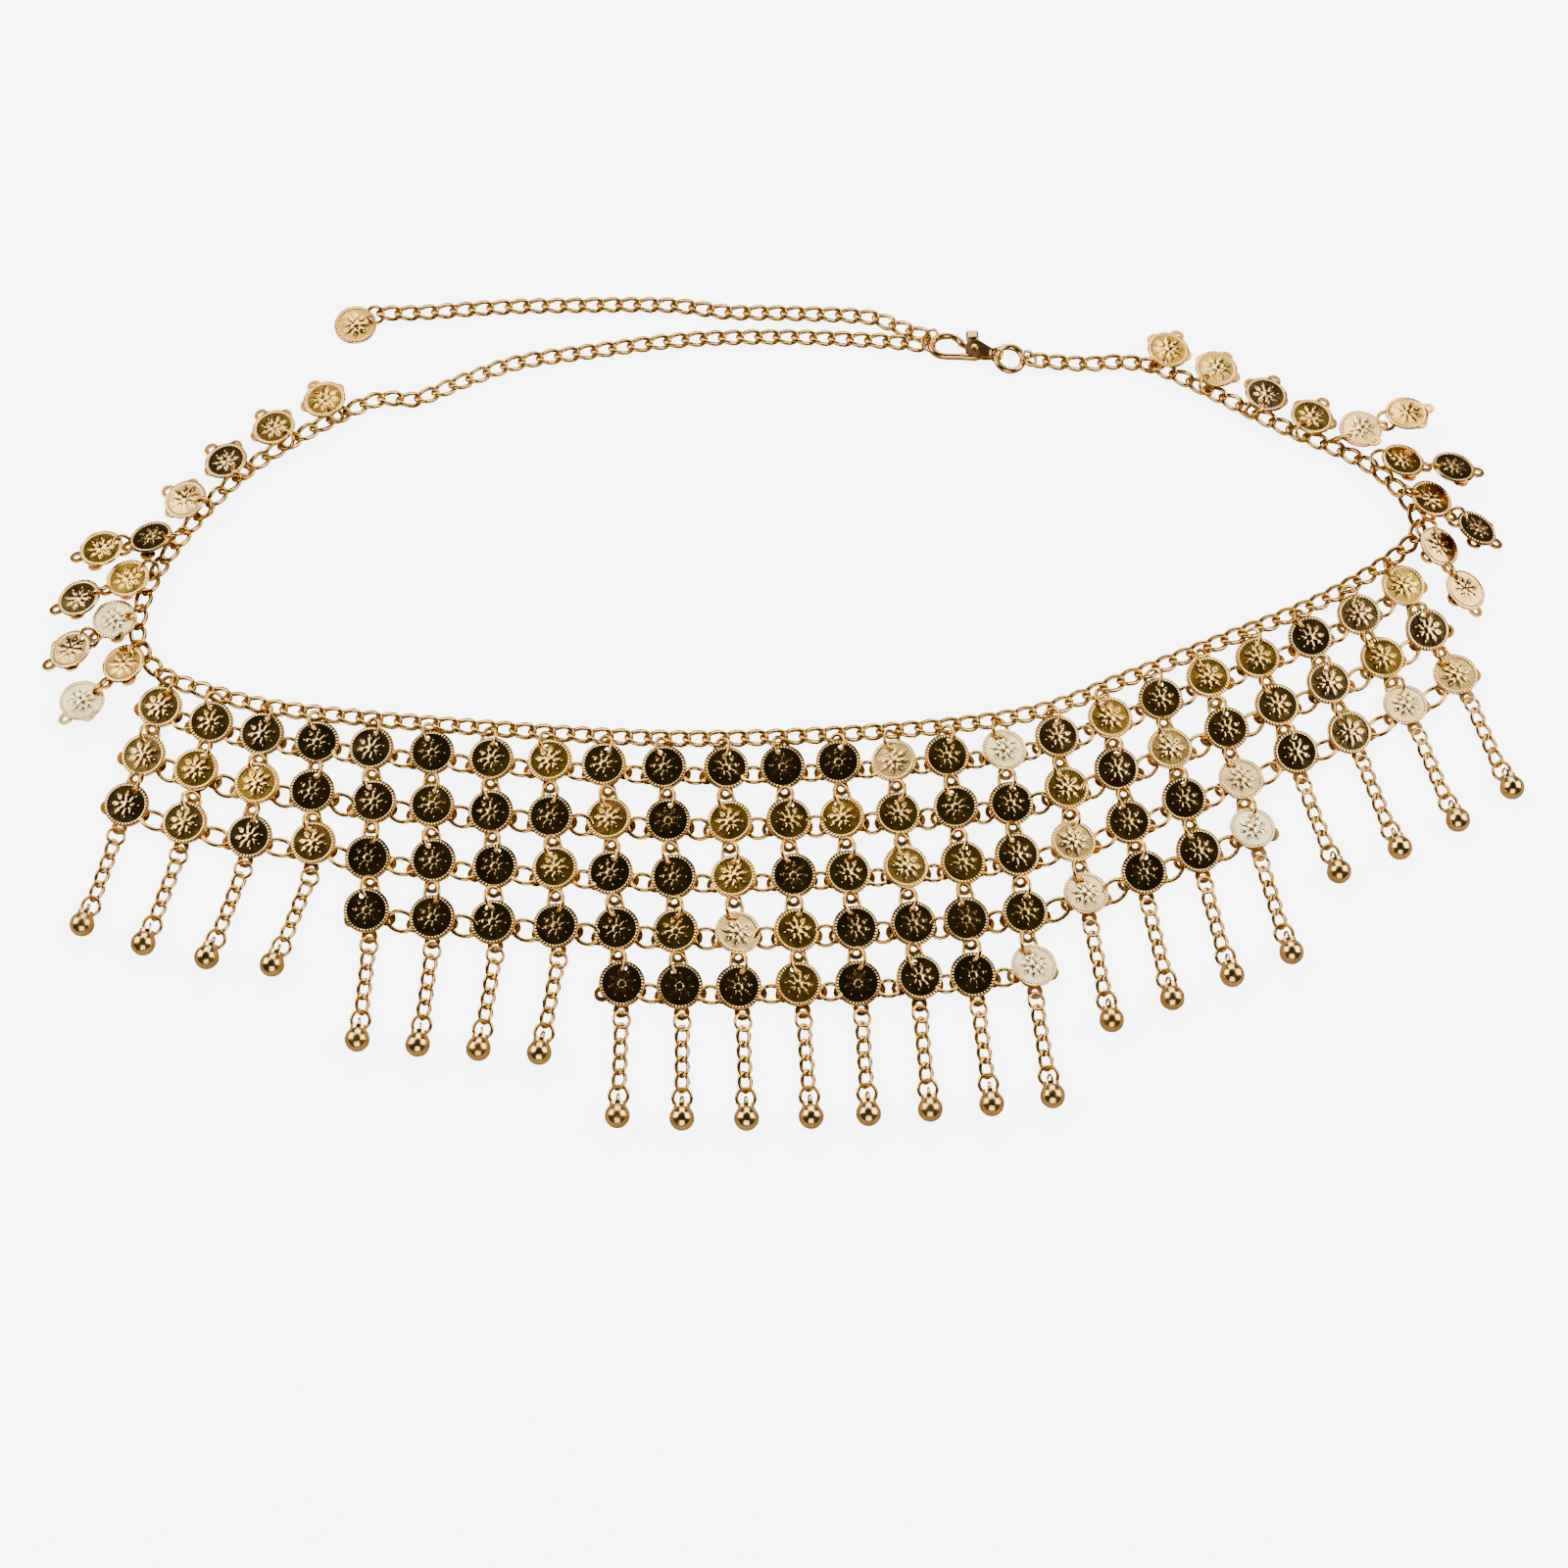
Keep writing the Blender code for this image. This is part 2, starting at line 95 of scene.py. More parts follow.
# Ten sections of four columns, placed by the distance past NET_START. Angles are measured from
# straight forward, plus to the right. Lean lifts the side at the chain, roll lifts one side petal.
SECTION_COLUMNS = ("rows", "start", "end", "out", "row_pitch", "hang_start", "hang_end",
                   "fan_start", "fan_end", "lean", "roll")
SECTIONS = (
    (1, 9.0, 62.0, 8.0, 17.7, -148, -121, 0, 0, 9, 0),
    (2, 75.0, 117.5, 9.5, 16.6, -77, -44, 0, 0, 0, 21),
    (3, 129.0, 178.0, 11.9, 16.8, -13, 1, -14, -18, 0, 0),
    (4, 195.5, 250.0, 12.4, 17.7, 2, 4.5, -3, -9, 0, 0),
    (5, 268.0, 322.5, 12.4, 17.7, 4.5, 4.5, -1, 4, 0, 0),
    (5, 340.0, 391.0, 12.4, 17.7, 4.5, 5.5, 3, 7, 0, 0),
    (4, 407.5, 459.5, 12.4, 17.2, 8, 12, 9, 13, 0, 0),
    (3, 476.5, 528.0, 12.0, 16.8, 15, 25, 16, 18, 0, 0),
    (2, 544.0, 585.0, 11.0, 16.6, 26, 112, 0, 0, 0, -24),
    (1, 596.0, 648.0, 8.0, 17.7, 147, 150, 0, 0, 9, 0),
)
COLUMNS_PER_SECTION = 4
ROWS_WITH_DROP = 3

# How far each coin is leant towards a lamp, and how strong a painted glint its colour gets: 0
# mirrors the dark, 0.5 is painted yellow, 1 is painted pale.
# One group for each column from the left, one value for each coin from the chain down.
COIN_LEAN_AND_PAINTED_SHINE = (
    (0.5,), (0.35,), (0.1,), (0.15,),
    (0.1, 0.5), (0.55, 0.1), (0.95, 0.05), (0.35, 1.0),
    (0.3, 0.2, 0.0), (0.3, 0.5, 0.3), (0.1, 0.55, 0.1), (0.1, 0.05, 0.35),
    (0.1, 0.05, 0.0, 0.1), (0.1, 0.25, 0.1, 0.05), (0.3, 0.05, 0.1, 0.05), (0.5, 0.15, 0.45, 0.05),
    (0.3, 0.5, 0.05, 0.1, 0.05), (0.15, 0.1, 0.15, 0.35, 0.05), (0.15, 0.5, 0.55, 0.75, 0.15),
    (0.05, 0.35, 0.15, 0.45, 0.4),
    (0.1, 0.55, 0.3, 0.1, 0.05), (0.7, 0.35, 0.6, 0.1, 0.15), (0.25, 0.3, 0.4, 0.15, 0.05),
    (0.9, 0.15, 0.2, 0.25, 1.0),
    (0.2, 0.4, 0.7, 0.85), (0.55, 0.05, 0.2, 0.1), (0.25, 0.65, 0.15, 0.15), (0.45, 0.2, 0.8, 1.0),
    (0.4, 0.25, 0.05), (0.05, 0.15, 0.15), (0.15, 0.4, 0.85), (0.45, 0.1, 0.65),
    (0.0, 0.05), (0.3, 0.0), (0.35, 0.1), (0.75, 0.45),
    (0.35,), (0.1,), (0.6,), (0.5,),
)


class Slot(Enum):
    """The material slots."""

    NET = "net_gold"
    CHAIN = "chain_gold"
    CLASP = "clasp_gold"


class Body(Enum):
    """The rigid bodies that pieces ride on."""

    BELT = "belt"
    GATE = "gate"


class Mark(Enum):
    """Values kept at each corner of a mesh for the finishes to read."""

    RAISED = "raised"
    # How strong a painted glint a copy's colour gets: a painted reflection of a lamp mirrored in
    # the metal.
    PAINTED_SHINE = "shine"


CAMERA_DISTANCE = 867.0
CAMERA_ELEVATION = 69.0
SPOT_LAMPS = ((-520.0, 850.0, 1150.0), (520.0, 850.0, 1150.0))
# The large lights: x, y, z, width and power in watts
SOFT_BOXES = ((-1000, 300, 700, 900, 17), (1000, 200, 700, 900, 17), (0, 1100, 650, 900, 14),
              (0, -1200, 700, 900, 10))


def centred(x: float, y: float, z: float = 0.0) -> Vector:
    """A place on the table, measured in mm from the middle of the laid-out chain."""
    return Vector((x - NET_CENTRE[0], y - NET_CENTRE[1], z))


def camera_place() -> Vector:
    """Where the camera stands, in mm."""
    height = math.radians(CAMERA_ELEVATION)
    return centred(0, 0) + CAMERA_DISTANCE * Vector((0, -math.cos(height), math.sin(height)))


def caught_light(place: Matrix, share: float) -> Matrix:
    """Lean a disc so that it mirrors a lamp towards the camera.

    Args:
        place: How the disc lies, in mm, with its face towards its own z.
        share: How much of the lean is taken, from 0 to 1.

    Returns:
        The leaning disc's place, turned about its own middle.
    """
    middle = place.to_translation()
    face = (place.to_3x3() @ Vector((0, 0, 1))).normalized()
    seen = (camera_place() - middle).normalized()
    turns = [face.rotation_difference((seen + (Vector(lamp) - middle).normalized()).normalized())
             for lamp in SPOT_LAMPS]
    turn = min(turns, key=lambda option: option.angle)
    lean = Matrix.Rotation(turn.angle * share, 4, turn.axis)
    return Matrix.Translation(middle) @ lean @ Matrix.Translation(-middle) @ place


def shift(x: float, y: float, z: float) -> Matrix:
    """A placing that only moves, in mm."""
    return Matrix.Translation((x, y, z))


def turned(degrees: float, axis: str) -> Matrix:
    """A placing that only turns, about one axis through the origin."""
    return Matrix.Rotation(math.radians(degrees), 4, axis)


def in_metres(place: Matrix) -> Matrix:
    """The same placing with its shift turned from mm into metres."""
    scaled = place.copy()
    scaled.translation = place.to_translation() * MM
    return scaled


class Route:
    """A smooth line through given points, read by the distance along it."""

    STEPS = 16

    def __init__(self, points: Sequence[Pair]) -> None:
        """Sample the curve densely and add up its length.

        Args:
            points: The places the line passes through, in mm.
        """
        ends = [Vector(p) for p in points]
        ends = [2 * ends[0] - ends[1], *ends, 2 * ends[-1] - ends[-2]]
        self.points: list[Vector] = []
        for i in range(1, len(ends) - 2):
            for k in range(self.STEPS):
                self.points.append(self.blend(*ends[i - 1:i + 3], k / self.STEPS))
        self.points.append(ends[-2])
        self.along = [0.0]
        for a, b in zip(self.points, self.points[1:]):
            self.along.append(self.along[-1] + (b - a).length)
        self.length = self.along[-1]

    @staticmethod
    def blend(before: Vector, a: Vector, b: Vector, after: Vector, t: float) -> Vector:
        """A point between a and b on the curve that also passes through the other two."""
        return 0.5 * (2 * a + (b - before) * t + (2 * before - 5 * a + 4 * b - after) * t ** 2
                      + (3 * a - before - 3 * b + after) * t ** 3)

    def at(self, distance: float) -> Vector:
        """The point at that distance along."""
        distance = min(max(distance, 0.0), self.length)
        i = max(k for k, s in enumerate(self.along) if s <= distance)
        i = min(i, len(self.points) - 2)
        share = (distance - self.along[i]) / (self.along[i + 1] - self.along[i])
        return self.points[i].lerp(self.points[i + 1], share)

    def angle(self, distance: float) -> float:
        """The direction there, as an angle from the x axis in radians."""
        step = self.at(distance + 1.0) - self.at(distance - 1.0)
        return math.atan2(step.y, step.x)


def pick(piece: Piece) -> None:
    """Select only this piece and make it the active one."""
    bpy.ops.object.select_all(action="DESELECT")
    piece.select_set(True)
    bpy.context.view_layer.objects.active = piece


class Bench:
    """One object in edit mode, with its faces and corners picked by their place."""

    def __init__(self, piece: Piece) -> None:
        """Remember the piece to work on."""
        self.piece = piece

    def __enter__(self) -> "Bench":
        """Select only this piece and open it for editing."""
        pick(self.piece)
        bpy.ops.object.mode_set(mode="EDIT")
        return self

    def __exit__(self, *problem: object) -> None:
        """Close the mesh again."""
        bpy.ops.object.mode_set(mode="OBJECT")

    def faces(self, wanted: Callable[[Vector, Vector], bool]) -> None:
        """Select faces.

        Args:
            wanted: Says from a face's middle, in mm, and its normal whether it is picked.
        """
        bpy.context.tool_settings.mesh_select_mode = (False, False, True)
        bpy.ops.mesh.select_all(action="DESELECT")
        shape = bmesh.from_edit_mesh(self.piece.data)
        for face in shape.faces:
            if wanted(face.calc_center_median() / MM, face.normal):
                face.select_set(True)
        bmesh.update_edit_mesh(self.piece.data)

    def corners(self, wanted: Callable[[Vector], bool]) -> None:
        """Select corners.

        Args:
            wanted: Says from a corner's place in mm whether it is picked.
        """
        bpy.context.tool_settings.mesh_select_mode = (True, False, False)
        bpy.ops.mesh.select_all(action="DESELECT")
        shape = bmesh.from_edit_mesh(self.piece.data)
        for corner in shape.verts:
            if wanted(corner.co / MM):
                corner.select_set(True)
        shape.select_flush(True)
        bmesh.update_edit_mesh(self.piece.data)

    def everything(self) -> None:
        """Select every corner."""
        self.corners(lambda place: True)

    @staticmethod
    def inset(width: float, rise: float = 0.0, each: bool = False) -> None:
        """Inset the picked faces.

        Args:
            width: How far in, in mm.
            rise: How far the inner faces move out along their normal, in mm.
            each: Whether each face is inset by itself.
        """
        bpy.ops.mesh.inset(thickness=width * MM, depth=rise * MM, use_individual=each)

    @staticmethod
    def move(x: float, y: float, z: float) -> None:
        """Move what is picked, in mm."""
        bpy.ops.transform.translate(value=(x * MM, y * MM, z * MM))

    @staticmethod
    def resize(x: float, y: float, z: float, about: Spot) -> None:
        """Scale what is picked about a place given in mm."""
        bpy.ops.transform.resize(value=(x, y, z), center_override=tuple(v * MM for v in about))

    @staticmethod
    def turn(degrees: float, axis: str, about: Spot) -> None:
        """Turn what is picked by the right-hand rule about an axis through a place in mm."""
        bpy.ops.transform.rotate(value=-math.radians(degrees), orient_axis=axis,
                                 center_override=tuple(v * MM for v in about))

    @staticmethod
    def extrude(x: float, y: float, z: float) -> None:
        """Pull the picked faces out by a shift in mm."""
        bpy.ops.mesh.extrude_region_move(
            TRANSFORM_OT_translate={"value": (x * MM, y * MM, z * MM)})


def made(name: str) -> Piece:
    """Name the object that a primitive operator has just added and return it."""
    piece = bpy.context.active_object
    piece.name = name
    piece.data.name = name
    return piece


def add_disc(name: str, radius: float, depth: float, sides: int,
             at: Spot = (0, 0, 0)) -> Piece:
    """Add a disc or rod standing on z.

    Args:
        name: The object's name.
        radius: Its radius in mm.
        depth: Its thickness in mm.
        sides: How many sides it has.
        at: Its middle in mm.

    Returns:
        The new object.
    """
    bpy.ops.mesh.primitive_cylinder_add(vertices=sides, radius=radius * MM, depth=depth * MM,
                                        location=tuple(v * MM for v in at))
    return made(name)


def add_torus(name: str, radius: float, wire: float, sides: int, wire_sides: int,
              at: Spot = (0, 0, 0)) -> Piece:
    """Add a ring of round wire lying flat.

    Args:
        name: The object's name.
        radius: From its middle to the wire's middle, in mm.
        wire: The wire's diameter in mm.
        sides: How many lengths the ring has.
        wire_sides: How many sides the wire has.
        at: Its middle in mm.

    Returns:
        The new object.
    """
    bpy.ops.mesh.primitive_torus_add(major_radius=radius * MM, minor_radius=wire / 2 * MM,
                                     major_segments=sides, minor_segments=wire_sides,
                                     location=tuple(v * MM for v in at))
    return made(name)


def apply_boolean(piece: Piece, tool: Piece, operation: str) -> None:
    """Join a tool to a piece or cut it away, then discard the tool."""
    pick(piece)
    change = piece.modifiers.new(operation.lower(), "BOOLEAN")
    change.operation = operation
    change.object = tool
    change.solver = "EXACT"
    bpy.ops.object.modifier_apply(modifier=change.name)
    bpy.data.objects.remove(tool, do_unlink=True)


def apply_bevel(piece: Piece, width: float, segments: int = 2,
                sharp: float = 40.0) -> None:
    """Round a piece's sharp edges.

    Args:
        piece: The object to round.
        width: The bevel's width in mm.
        segments: How many faces across it.
        sharp: Only edges sharper than this angle are rounded.
    """
    pick(piece)
    bevel = piece.modifiers.new("soft_edges", "BEVEL")
    bevel.width = width * MM
    bevel.segments = segments
    bevel.limit_method = "ANGLE"
    bevel.angle_limit = math.radians(sharp)
    bpy.ops.object.modifier_apply(modifier=bevel.name)


def melt(pieces: Sequence[Piece], name: str) -> Piece:
    """Join objects into one whose place is in its mesh.

    Args:
        pieces: The objects, of which the first is kept.
        name: The joined object's name.

    Returns:
        The joined object, at the origin, unturned and unscaled.
    """
    pick(pieces[0])
    for piece in pieces:
        piece.select_set(True)
    if len(pieces) > 1:
        bpy.ops.object.join()
    bpy.ops.object.transform_apply(location=True, rotation=True, scale=True)
    pieces[0].name = name
    pieces[0].data.name = name
    return pieces[0]


def smooth(piece: Piece, degrees: float) -> None:
    """Shade a piece smooth but for edges sharper than an angle."""
    pick(piece)
    bpy.ops.object.shade_smooth_by_angle(angle=math.radians(degrees))


def mark(mesh: Mesh, kind: Mark, value: Callable[[Vector], float]) -> None:
    """Write a value at every corner of a mesh.

    Args:
        mesh: The mesh to mark.
        kind: Which mark to write.
        value: Gives the value from a corner's place in mm.
    """
    layer = mesh.attributes.get(kind.value) or mesh.attributes.new(kind.value, "FLOAT", "POINT")
    layer.data.foreach_set("value", [value(corner.co / MM) for corner in mesh.vertices])


def finished(piece: Piece, material: Material, crease: float,
             bright_share: Callable[[Vector], float] = lambda place: 1.0) -> Piece:
    """Give a modelled piece its finish and its shading.

    Args:
        piece: The piece.
        material: Its finish.
        crease: Edges sharper than this angle stay sharp.
        bright_share: Gives from a place in mm how much raised colour the metal takes there, from 0
            to 1; on the clasp, low values are a painted dark reflection.

    Returns:
        The same piece.
    """
    mark(piece.data, Mark.RAISED, bright_share)
    piece.data.materials.clear()
    piece.data.materials.append(material)
    smooth(piece, crease)
    return piece


@dataclass(frozen=True)
class GoldFinish:
    """A polished gold plate over brass, with darker hollows and the odd dull patch."""

    name: str
    raised: Colour
    hollow: Colour
    # The yellow and pale colours are painted glints, mixed in where a copy carries a painted glint
    # mark.
    yellow: Colour
    pale: Colour
    gloss: float
    dull: float
    dent_size: float
    dent_depth: float

    def build(self, group: Tree) -> Material:
        """Make the material.

        Args:
            group: The shared plated-metal node group.

        Returns:
            A material that reads the piece's marks and its object coordinates.
        """
        material = bpy.data.materials.new(self.name)
        material.use_nodes = True
        nodes = material.node_tree.nodes
        links = material.node_tree.links
        shader = nodes["Principled BSDF"]
        shader.inputs["Metallic"].default_value = 1.0
        plated = nodes.new("ShaderNodeGroup")
        plated.node_tree = group
        for socket, colour in (("Raised Colour", self.raised), ("Hollow Colour", self.hollow),
                               ("Painted Yellow Glint", self.yellow), ("Painted Pale Glint", self.pale)):
            plated.inputs[socket].default_value = (*colour, 1.0)
        plated.inputs["Gloss Roughness"].default_value = self.gloss
        plated.inputs["Dull Roughness"].default_value = self.dull
        plated.inputs["Dents Per Metre"].default_value = 1.0 / (self.dent_size * MM)
        place = nodes.new("ShaderNodeTexCoord")
        links.new(place.outputs["Object"], plated.inputs["Place"])
        for kind, socket in ((Mark.RAISED, "Raised"), (Mark.PAINTED_SHINE, "Painted Shine")):
            reader = nodes.new("ShaderNodeAttribute")
            reader.attribute_name = kind.value
            links.new(reader.outputs["Fac"], plated.inputs[socket])
        bump = nodes.new("ShaderNodeBump")
        bump.inputs["Strength"].default_value = 1.0
        bump.inputs["Distance"].default_value = self.dent_depth * MM
        links.new(plated.outputs["Colour"], shader.inputs["Base Color"])
        links.new(plated.outputs["Roughness"], shader.inputs["Roughness"])
        links.new(plated.outputs["Height"], bump.inputs["Height"])
        links.new(bump.outputs["Normal"], shader.inputs["Normal"])
        return material


class PlatedMetal:
    """The node group that every gold finish shares."""

    INPUTS = (
        ("Place", "NodeSocketVector"), ("Raised", "NodeSocketFloat"), ("Painted Shine", "NodeSocketFloat"),
        ("Raised Colour", "NodeSocketColor"), ("Hollow Colour", "NodeSocketColor"),
        ("Painted Yellow Glint", "NodeSocketColor"), ("Painted Pale Glint", "NodeSocketColor"),
        ("Gloss Roughness", "NodeSocketFloat"), ("Dull Roughness", "NodeSocketFloat"),
        ("Dents Per Metre", "NodeSocketFloat"),
    )
    OUTPUTS = (("Colour", "NodeSocketColor"), ("Roughness", "NodeSocketFloat"),
               ("Height", "NodeSocketFloat"))
    PATCHES_PER_METRE = 160.0
    PATCH_TINT = (0.72, 0.6696, 0.5904, 1.0)
    PATCH_DETAIL = 3.0
    PATCH_SPAN = (0.42, 0.68)
    DENT_DETAIL = 1.0
    # Where along a copy's painted glint mark the painted yellow and pale glints come in
    PAINTED_YELLOW_SPAN = (0.1, 0.5)
    PAINTED_PALE_SPAN = (0.55, 1.0)
    GLARE = 0.08

    def __init__(self) -> None:
        """Make the empty group with its sockets."""
        self.tree = bpy.data.node_groups.new("plated_metal", "ShaderNodeTree")
        for name, kind in self.INPUTS:
            self.tree.interface.new_socket(name=name, in_out="INPUT", socket_type=kind)
        for name, kind in self.OUTPUTS:
            self.tree.interface.new_socket(name=name, in_out="OUTPUT", socket_type=kind)
        self.inlet = self.tree.nodes.new("NodeGroupInput")
        self.outlet = self.tree.nodes.new("NodeGroupOutput")

    def link(self, source: Socket, target: Socket) -> None:
        """Join two sockets."""
        self.tree.links.new(source, target)

    def noise(self, detail: float) -> Node:
        """Add a noise that reads the piece's own place."""
        node = self.tree.nodes.new("ShaderNodeTexNoise")
        node.inputs["Detail"].default_value = detail
        self.link(self.inlet.outputs["Place"], node.inputs["Vector"])
        return node

    def span(self, source: Socket, low: float, high: float) -> Node:
        """Add a node that turns low to high into 0 to 1, without overshoot."""
        node = self.tree.nodes.new("ShaderNodeMapRange")
        node.inputs["From Min"].default_value = low
        node.inputs["From Max"].default_value = high
        self.link(source, node.inputs["Value"])
        return node

    def mix(self, share: Socket, first: Optional[Socket],
            second: Optional[Socket], kind: str = "MIX") -> Node:
        """Add a colour mix.

        Args:
            share: How much of the second colour.
            first: The first colour.
            second: The second colour, or None where it is set by hand.
            kind: The blend type.

        Returns:
            The mix node.
        """
        node = self.tree.nodes.new("ShaderNodeMixRGB")
        node.blend_type = kind
        self.link(share, node.inputs["Fac"])
        for source, socket in ((first, "Color1"), (second, "Color2")):
            if source is not None:
                self.link(source, node.inputs[socket])
        return node

    def build(self) -> Tree:
        """Wire colour, roughness and height.

        Returns:
            The finished group.
        """
        ports = self.inlet.outputs
        # A copy's painted glint mark turns the ground colour yellow and then pale: a painted
        # reflection of a lamp.
        painted_yellow_share = self.span(ports["Painted Shine"], *self.PAINTED_YELLOW_SPAN)
        painted_pale_share = self.span(ports["Painted Shine"], *self.PAINTED_PALE_SPAN)
        ground = self.mix(painted_yellow_share.outputs[0], ports["Hollow Colour"], ports["Painted Yellow Glint"])
        ground = self.mix(painted_pale_share.outputs[0], ground.outputs[0], ports["Painted Pale Glint"])
        colour = self.mix(ports["Raised"], ground.outputs[0], ports["Raised Colour"])
        patches = self.noise(self.PATCH_DETAIL)
        patches.inputs["Scale"].default_value = self.PATCHES_PER_METRE
        patchy = self.span(patches.outputs["Fac"], *self.PATCH_SPAN)
        shaded = self.mix(patchy.outputs[0], colour.outputs[0], None, "MULTIPLY")
        shaded.inputs["Color2"].default_value = self.PATCH_TINT
        self.link(shaded.outputs[0], self.outlet.inputs["Colour"])
        dullness = self.tree.nodes.new("ShaderNodeMapRange")
        self.link(patchy.outputs[0], dullness.inputs["Value"])
        self.link(ports["Gloss Roughness"], dullness.inputs["To Min"])
        self.link(ports["Dull Roughness"], dullness.inputs["To Max"])
        glare = self.tree.nodes.new("ShaderNodeMath")
        glare.operation = "MULTIPLY_ADD"
        glare.inputs[1].default_value = self.GLARE
        self.link(ports["Painted Shine"], glare.inputs[0])
        self.link(dullness.outputs[0], glare.inputs[2])
        self.link(glare.outputs[0], self.outlet.inputs["Roughness"])
        dents = self.noise(self.DENT_DETAIL)
        self.link(ports["Dents Per Metre"], dents.inputs["Scale"])
        self.link(dents.outputs["Fac"], self.outlet.inputs["Height"])
        return self.tree


# In each finish, yellow and pale are painted glint colours.
COIN_GOLD = GoldFinish("coin_gold", raised=(0.95, 0.63, 0.22), hollow=(0.62, 0.37, 0.12),
                       yellow=(1.0, 0.56, 0.08), pale=(1.0, 0.80, 0.40), gloss=0.12, dull=0.20,
                       dent_size=4.0, dent_depth=0.01)
PLATE_GOLD = GoldFinish("plate_gold", raised=(0.92, 0.45, 0.09), hollow=(0.88, 0.40, 0.07),
                        yellow=(0.92, 0.50, 0.11), pale=(1.0, 0.82, 0.48), gloss=0.20, dull=0.32,
                        dent_size=3.2, dent_depth=0.04)
WIRE_GOLD = GoldFinish("wire_gold", raised=(0.68, 0.37, 0.075), hollow=(0.50, 0.28, 0.09),
                       yellow=(0.90, 0.56, 0.18), pale=(1.0, 0.86, 0.56), gloss=0.16, dull=0.28,
                       dent_size=1.5, dent_depth=0.01)
DROP_GOLD = GoldFinish("drop_gold", raised=(0.90, 0.56, 0.18), hollow=(0.60, 0.34, 0.10),
                       yellow=(0.90, 0.58, 0.20), pale=(1.0, 0.88, 0.60), gloss=0.17, dull=0.28,
                       dent_size=3.0, dent_depth=0.16)
# The clasp's hollow colour is a painted dark reflection, laid on the cheek's flat top and the
# thumb tab.
CLASP_GOLD = GoldFinish("clasp_gold", raised=(0.74, 0.43, 0.12), hollow=(0.30, 0.16, 0.06),
                        yellow=(0.88, 0.56, 0.20), pale=(1.0, 0.88, 0.60), gloss=0.14, dull=0.26,
                        dent_size=3.0, dent_depth=0.02)


@dataclass
class PressedCoin:
    """A thin pressed coin: a plain raised rim, a ring of beads and a generic rosette."""

    radius: float = 7.0
    thickness: float = 0.55
    sides: int = 40
    rim: float = 0.12
    rim_rise: float = 0.14
    rim_slope: float = 0.12
    bead_band: float = 0.90
    bead_inset: float = 0.22
    bead_rise: float = 0.22
    field_rings: tuple[float, ...] = (0.15, 1.1, 1.1, 1.1, 1.1)
    relief_inset: float = 0.20
    relief_rise: float = 0.11
    relief_polish: float = 0.35
    hole_radius: float = 0.9
    hole_sides: int = 8
    hole_from_middle: float = 4.75
    petals: int = 8
    petal_rings: tuple[int, ...] = (3, 4)
    petal_steps: tuple[int, ...] = (1, 2, 3)
    dot_ring: int = 2
    dot_step: int = 2
    crease: float = 35.0

    def model(self, material: Material) -> Piece:
        """Press the coin.

        Args:
            material: Its finish.

        Returns:
            The coin, lying flat with its middle at the origin and its hole towards +y.
        """
        coin = add_disc("pressed_coin", self.radius, self.thickness, self.sides)
        top = self.thickness / 2
        with Bench(coin) as bench:
            bench.faces(lambda middle, normal: normal.z > UPWARD)
            bench.inset(self.rim_slope, self.rim_rise)
            bench.inset(self.rim)
            bench.inset(self.rim_slope, -self.rim_rise)
            bench.inset(self.bead_band)
            for width in self.field_rings:
                bench.inset(width)
            bench.inset(self.relief_inset, self.relief_rise)
            beads_out = self.radius - self.rim - 2 * self.rim_slope
            beads_in = beads_out - self.bead_band
            bench.faces(lambda middle, normal: normal.z > UPWARD
                        and beads_in < middle.xy.length < beads_out)
            bench.inset(self.bead_inset, self.bead_rise / 3, each=True)
            bpy.ops.mesh.poke(offset=self.bead_rise * MM)
            bench.faces(self.on_petal)
            bench.inset(self.relief_inset, self.relief_rise)
            bench.faces(self.on_dot)
            bench.inset(self.relief_inset, self.relief_rise / 2, each=True)
            bpy.ops.mesh.poke(offset=self.relief_rise * MM)
        field_edge = beads_in - self.field_rings[0] / 2
        mark(coin.data, Mark.RAISED,
             lambda place: min(max((place.z - top) / self.rim_rise, 0.0), 1.0)
             * (1.0 if place.xy.length > field_edge else self.relief_polish))
        cutter = add_disc("coin_hole", self.hole_radius, 4 * self.thickness, self.hole_sides,
                          (0, self.hole_from_middle, 0))
        apply_boolean(coin, cutter, "DIFFERENCE")
        coin.data.materials.append(material)
        smooth(coin, self.crease)
        return coin

    def sector(self, middle: Vector) -> int:
        """Which step round its petal of the rosette a place stands in."""
        turn = math.atan2(middle.y, middle.x) / (2 * math.pi) * self.sides
        return math.floor(turn) % (self.sides // self.petals)

    def ring(self, middle: Vector) -> int:
        """Which ring of the field a place stands in, 1 outermost, 0 outside the field."""
        edge = self.radius - self.rim - 2 * self.rim_slope - self.bead_band - self.field_rings[0]
        for number, width in enumerate(self.field_rings[1:], start=1):
            if edge - width < middle.xy.length < edge:
                return number
            edge -= width
        return 0

    def on_petal(self, middle: Vector, normal: Vector) -> bool:
        """Whether a face belongs to a petal of the rosette."""
        return (normal.z >= UPWARD and self.ring(middle) in self.petal_rings
                and self.sector(middle) in self.petal_steps)

    def on_dot(self, middle: Vector, normal: Vector) -> bool:
        """Whether a face carries one of the dots beyond the petals."""
        return (normal.z >= UPWARD and self.ring(middle) == self.dot_ring
                and self.sector(middle) == self.dot_step)


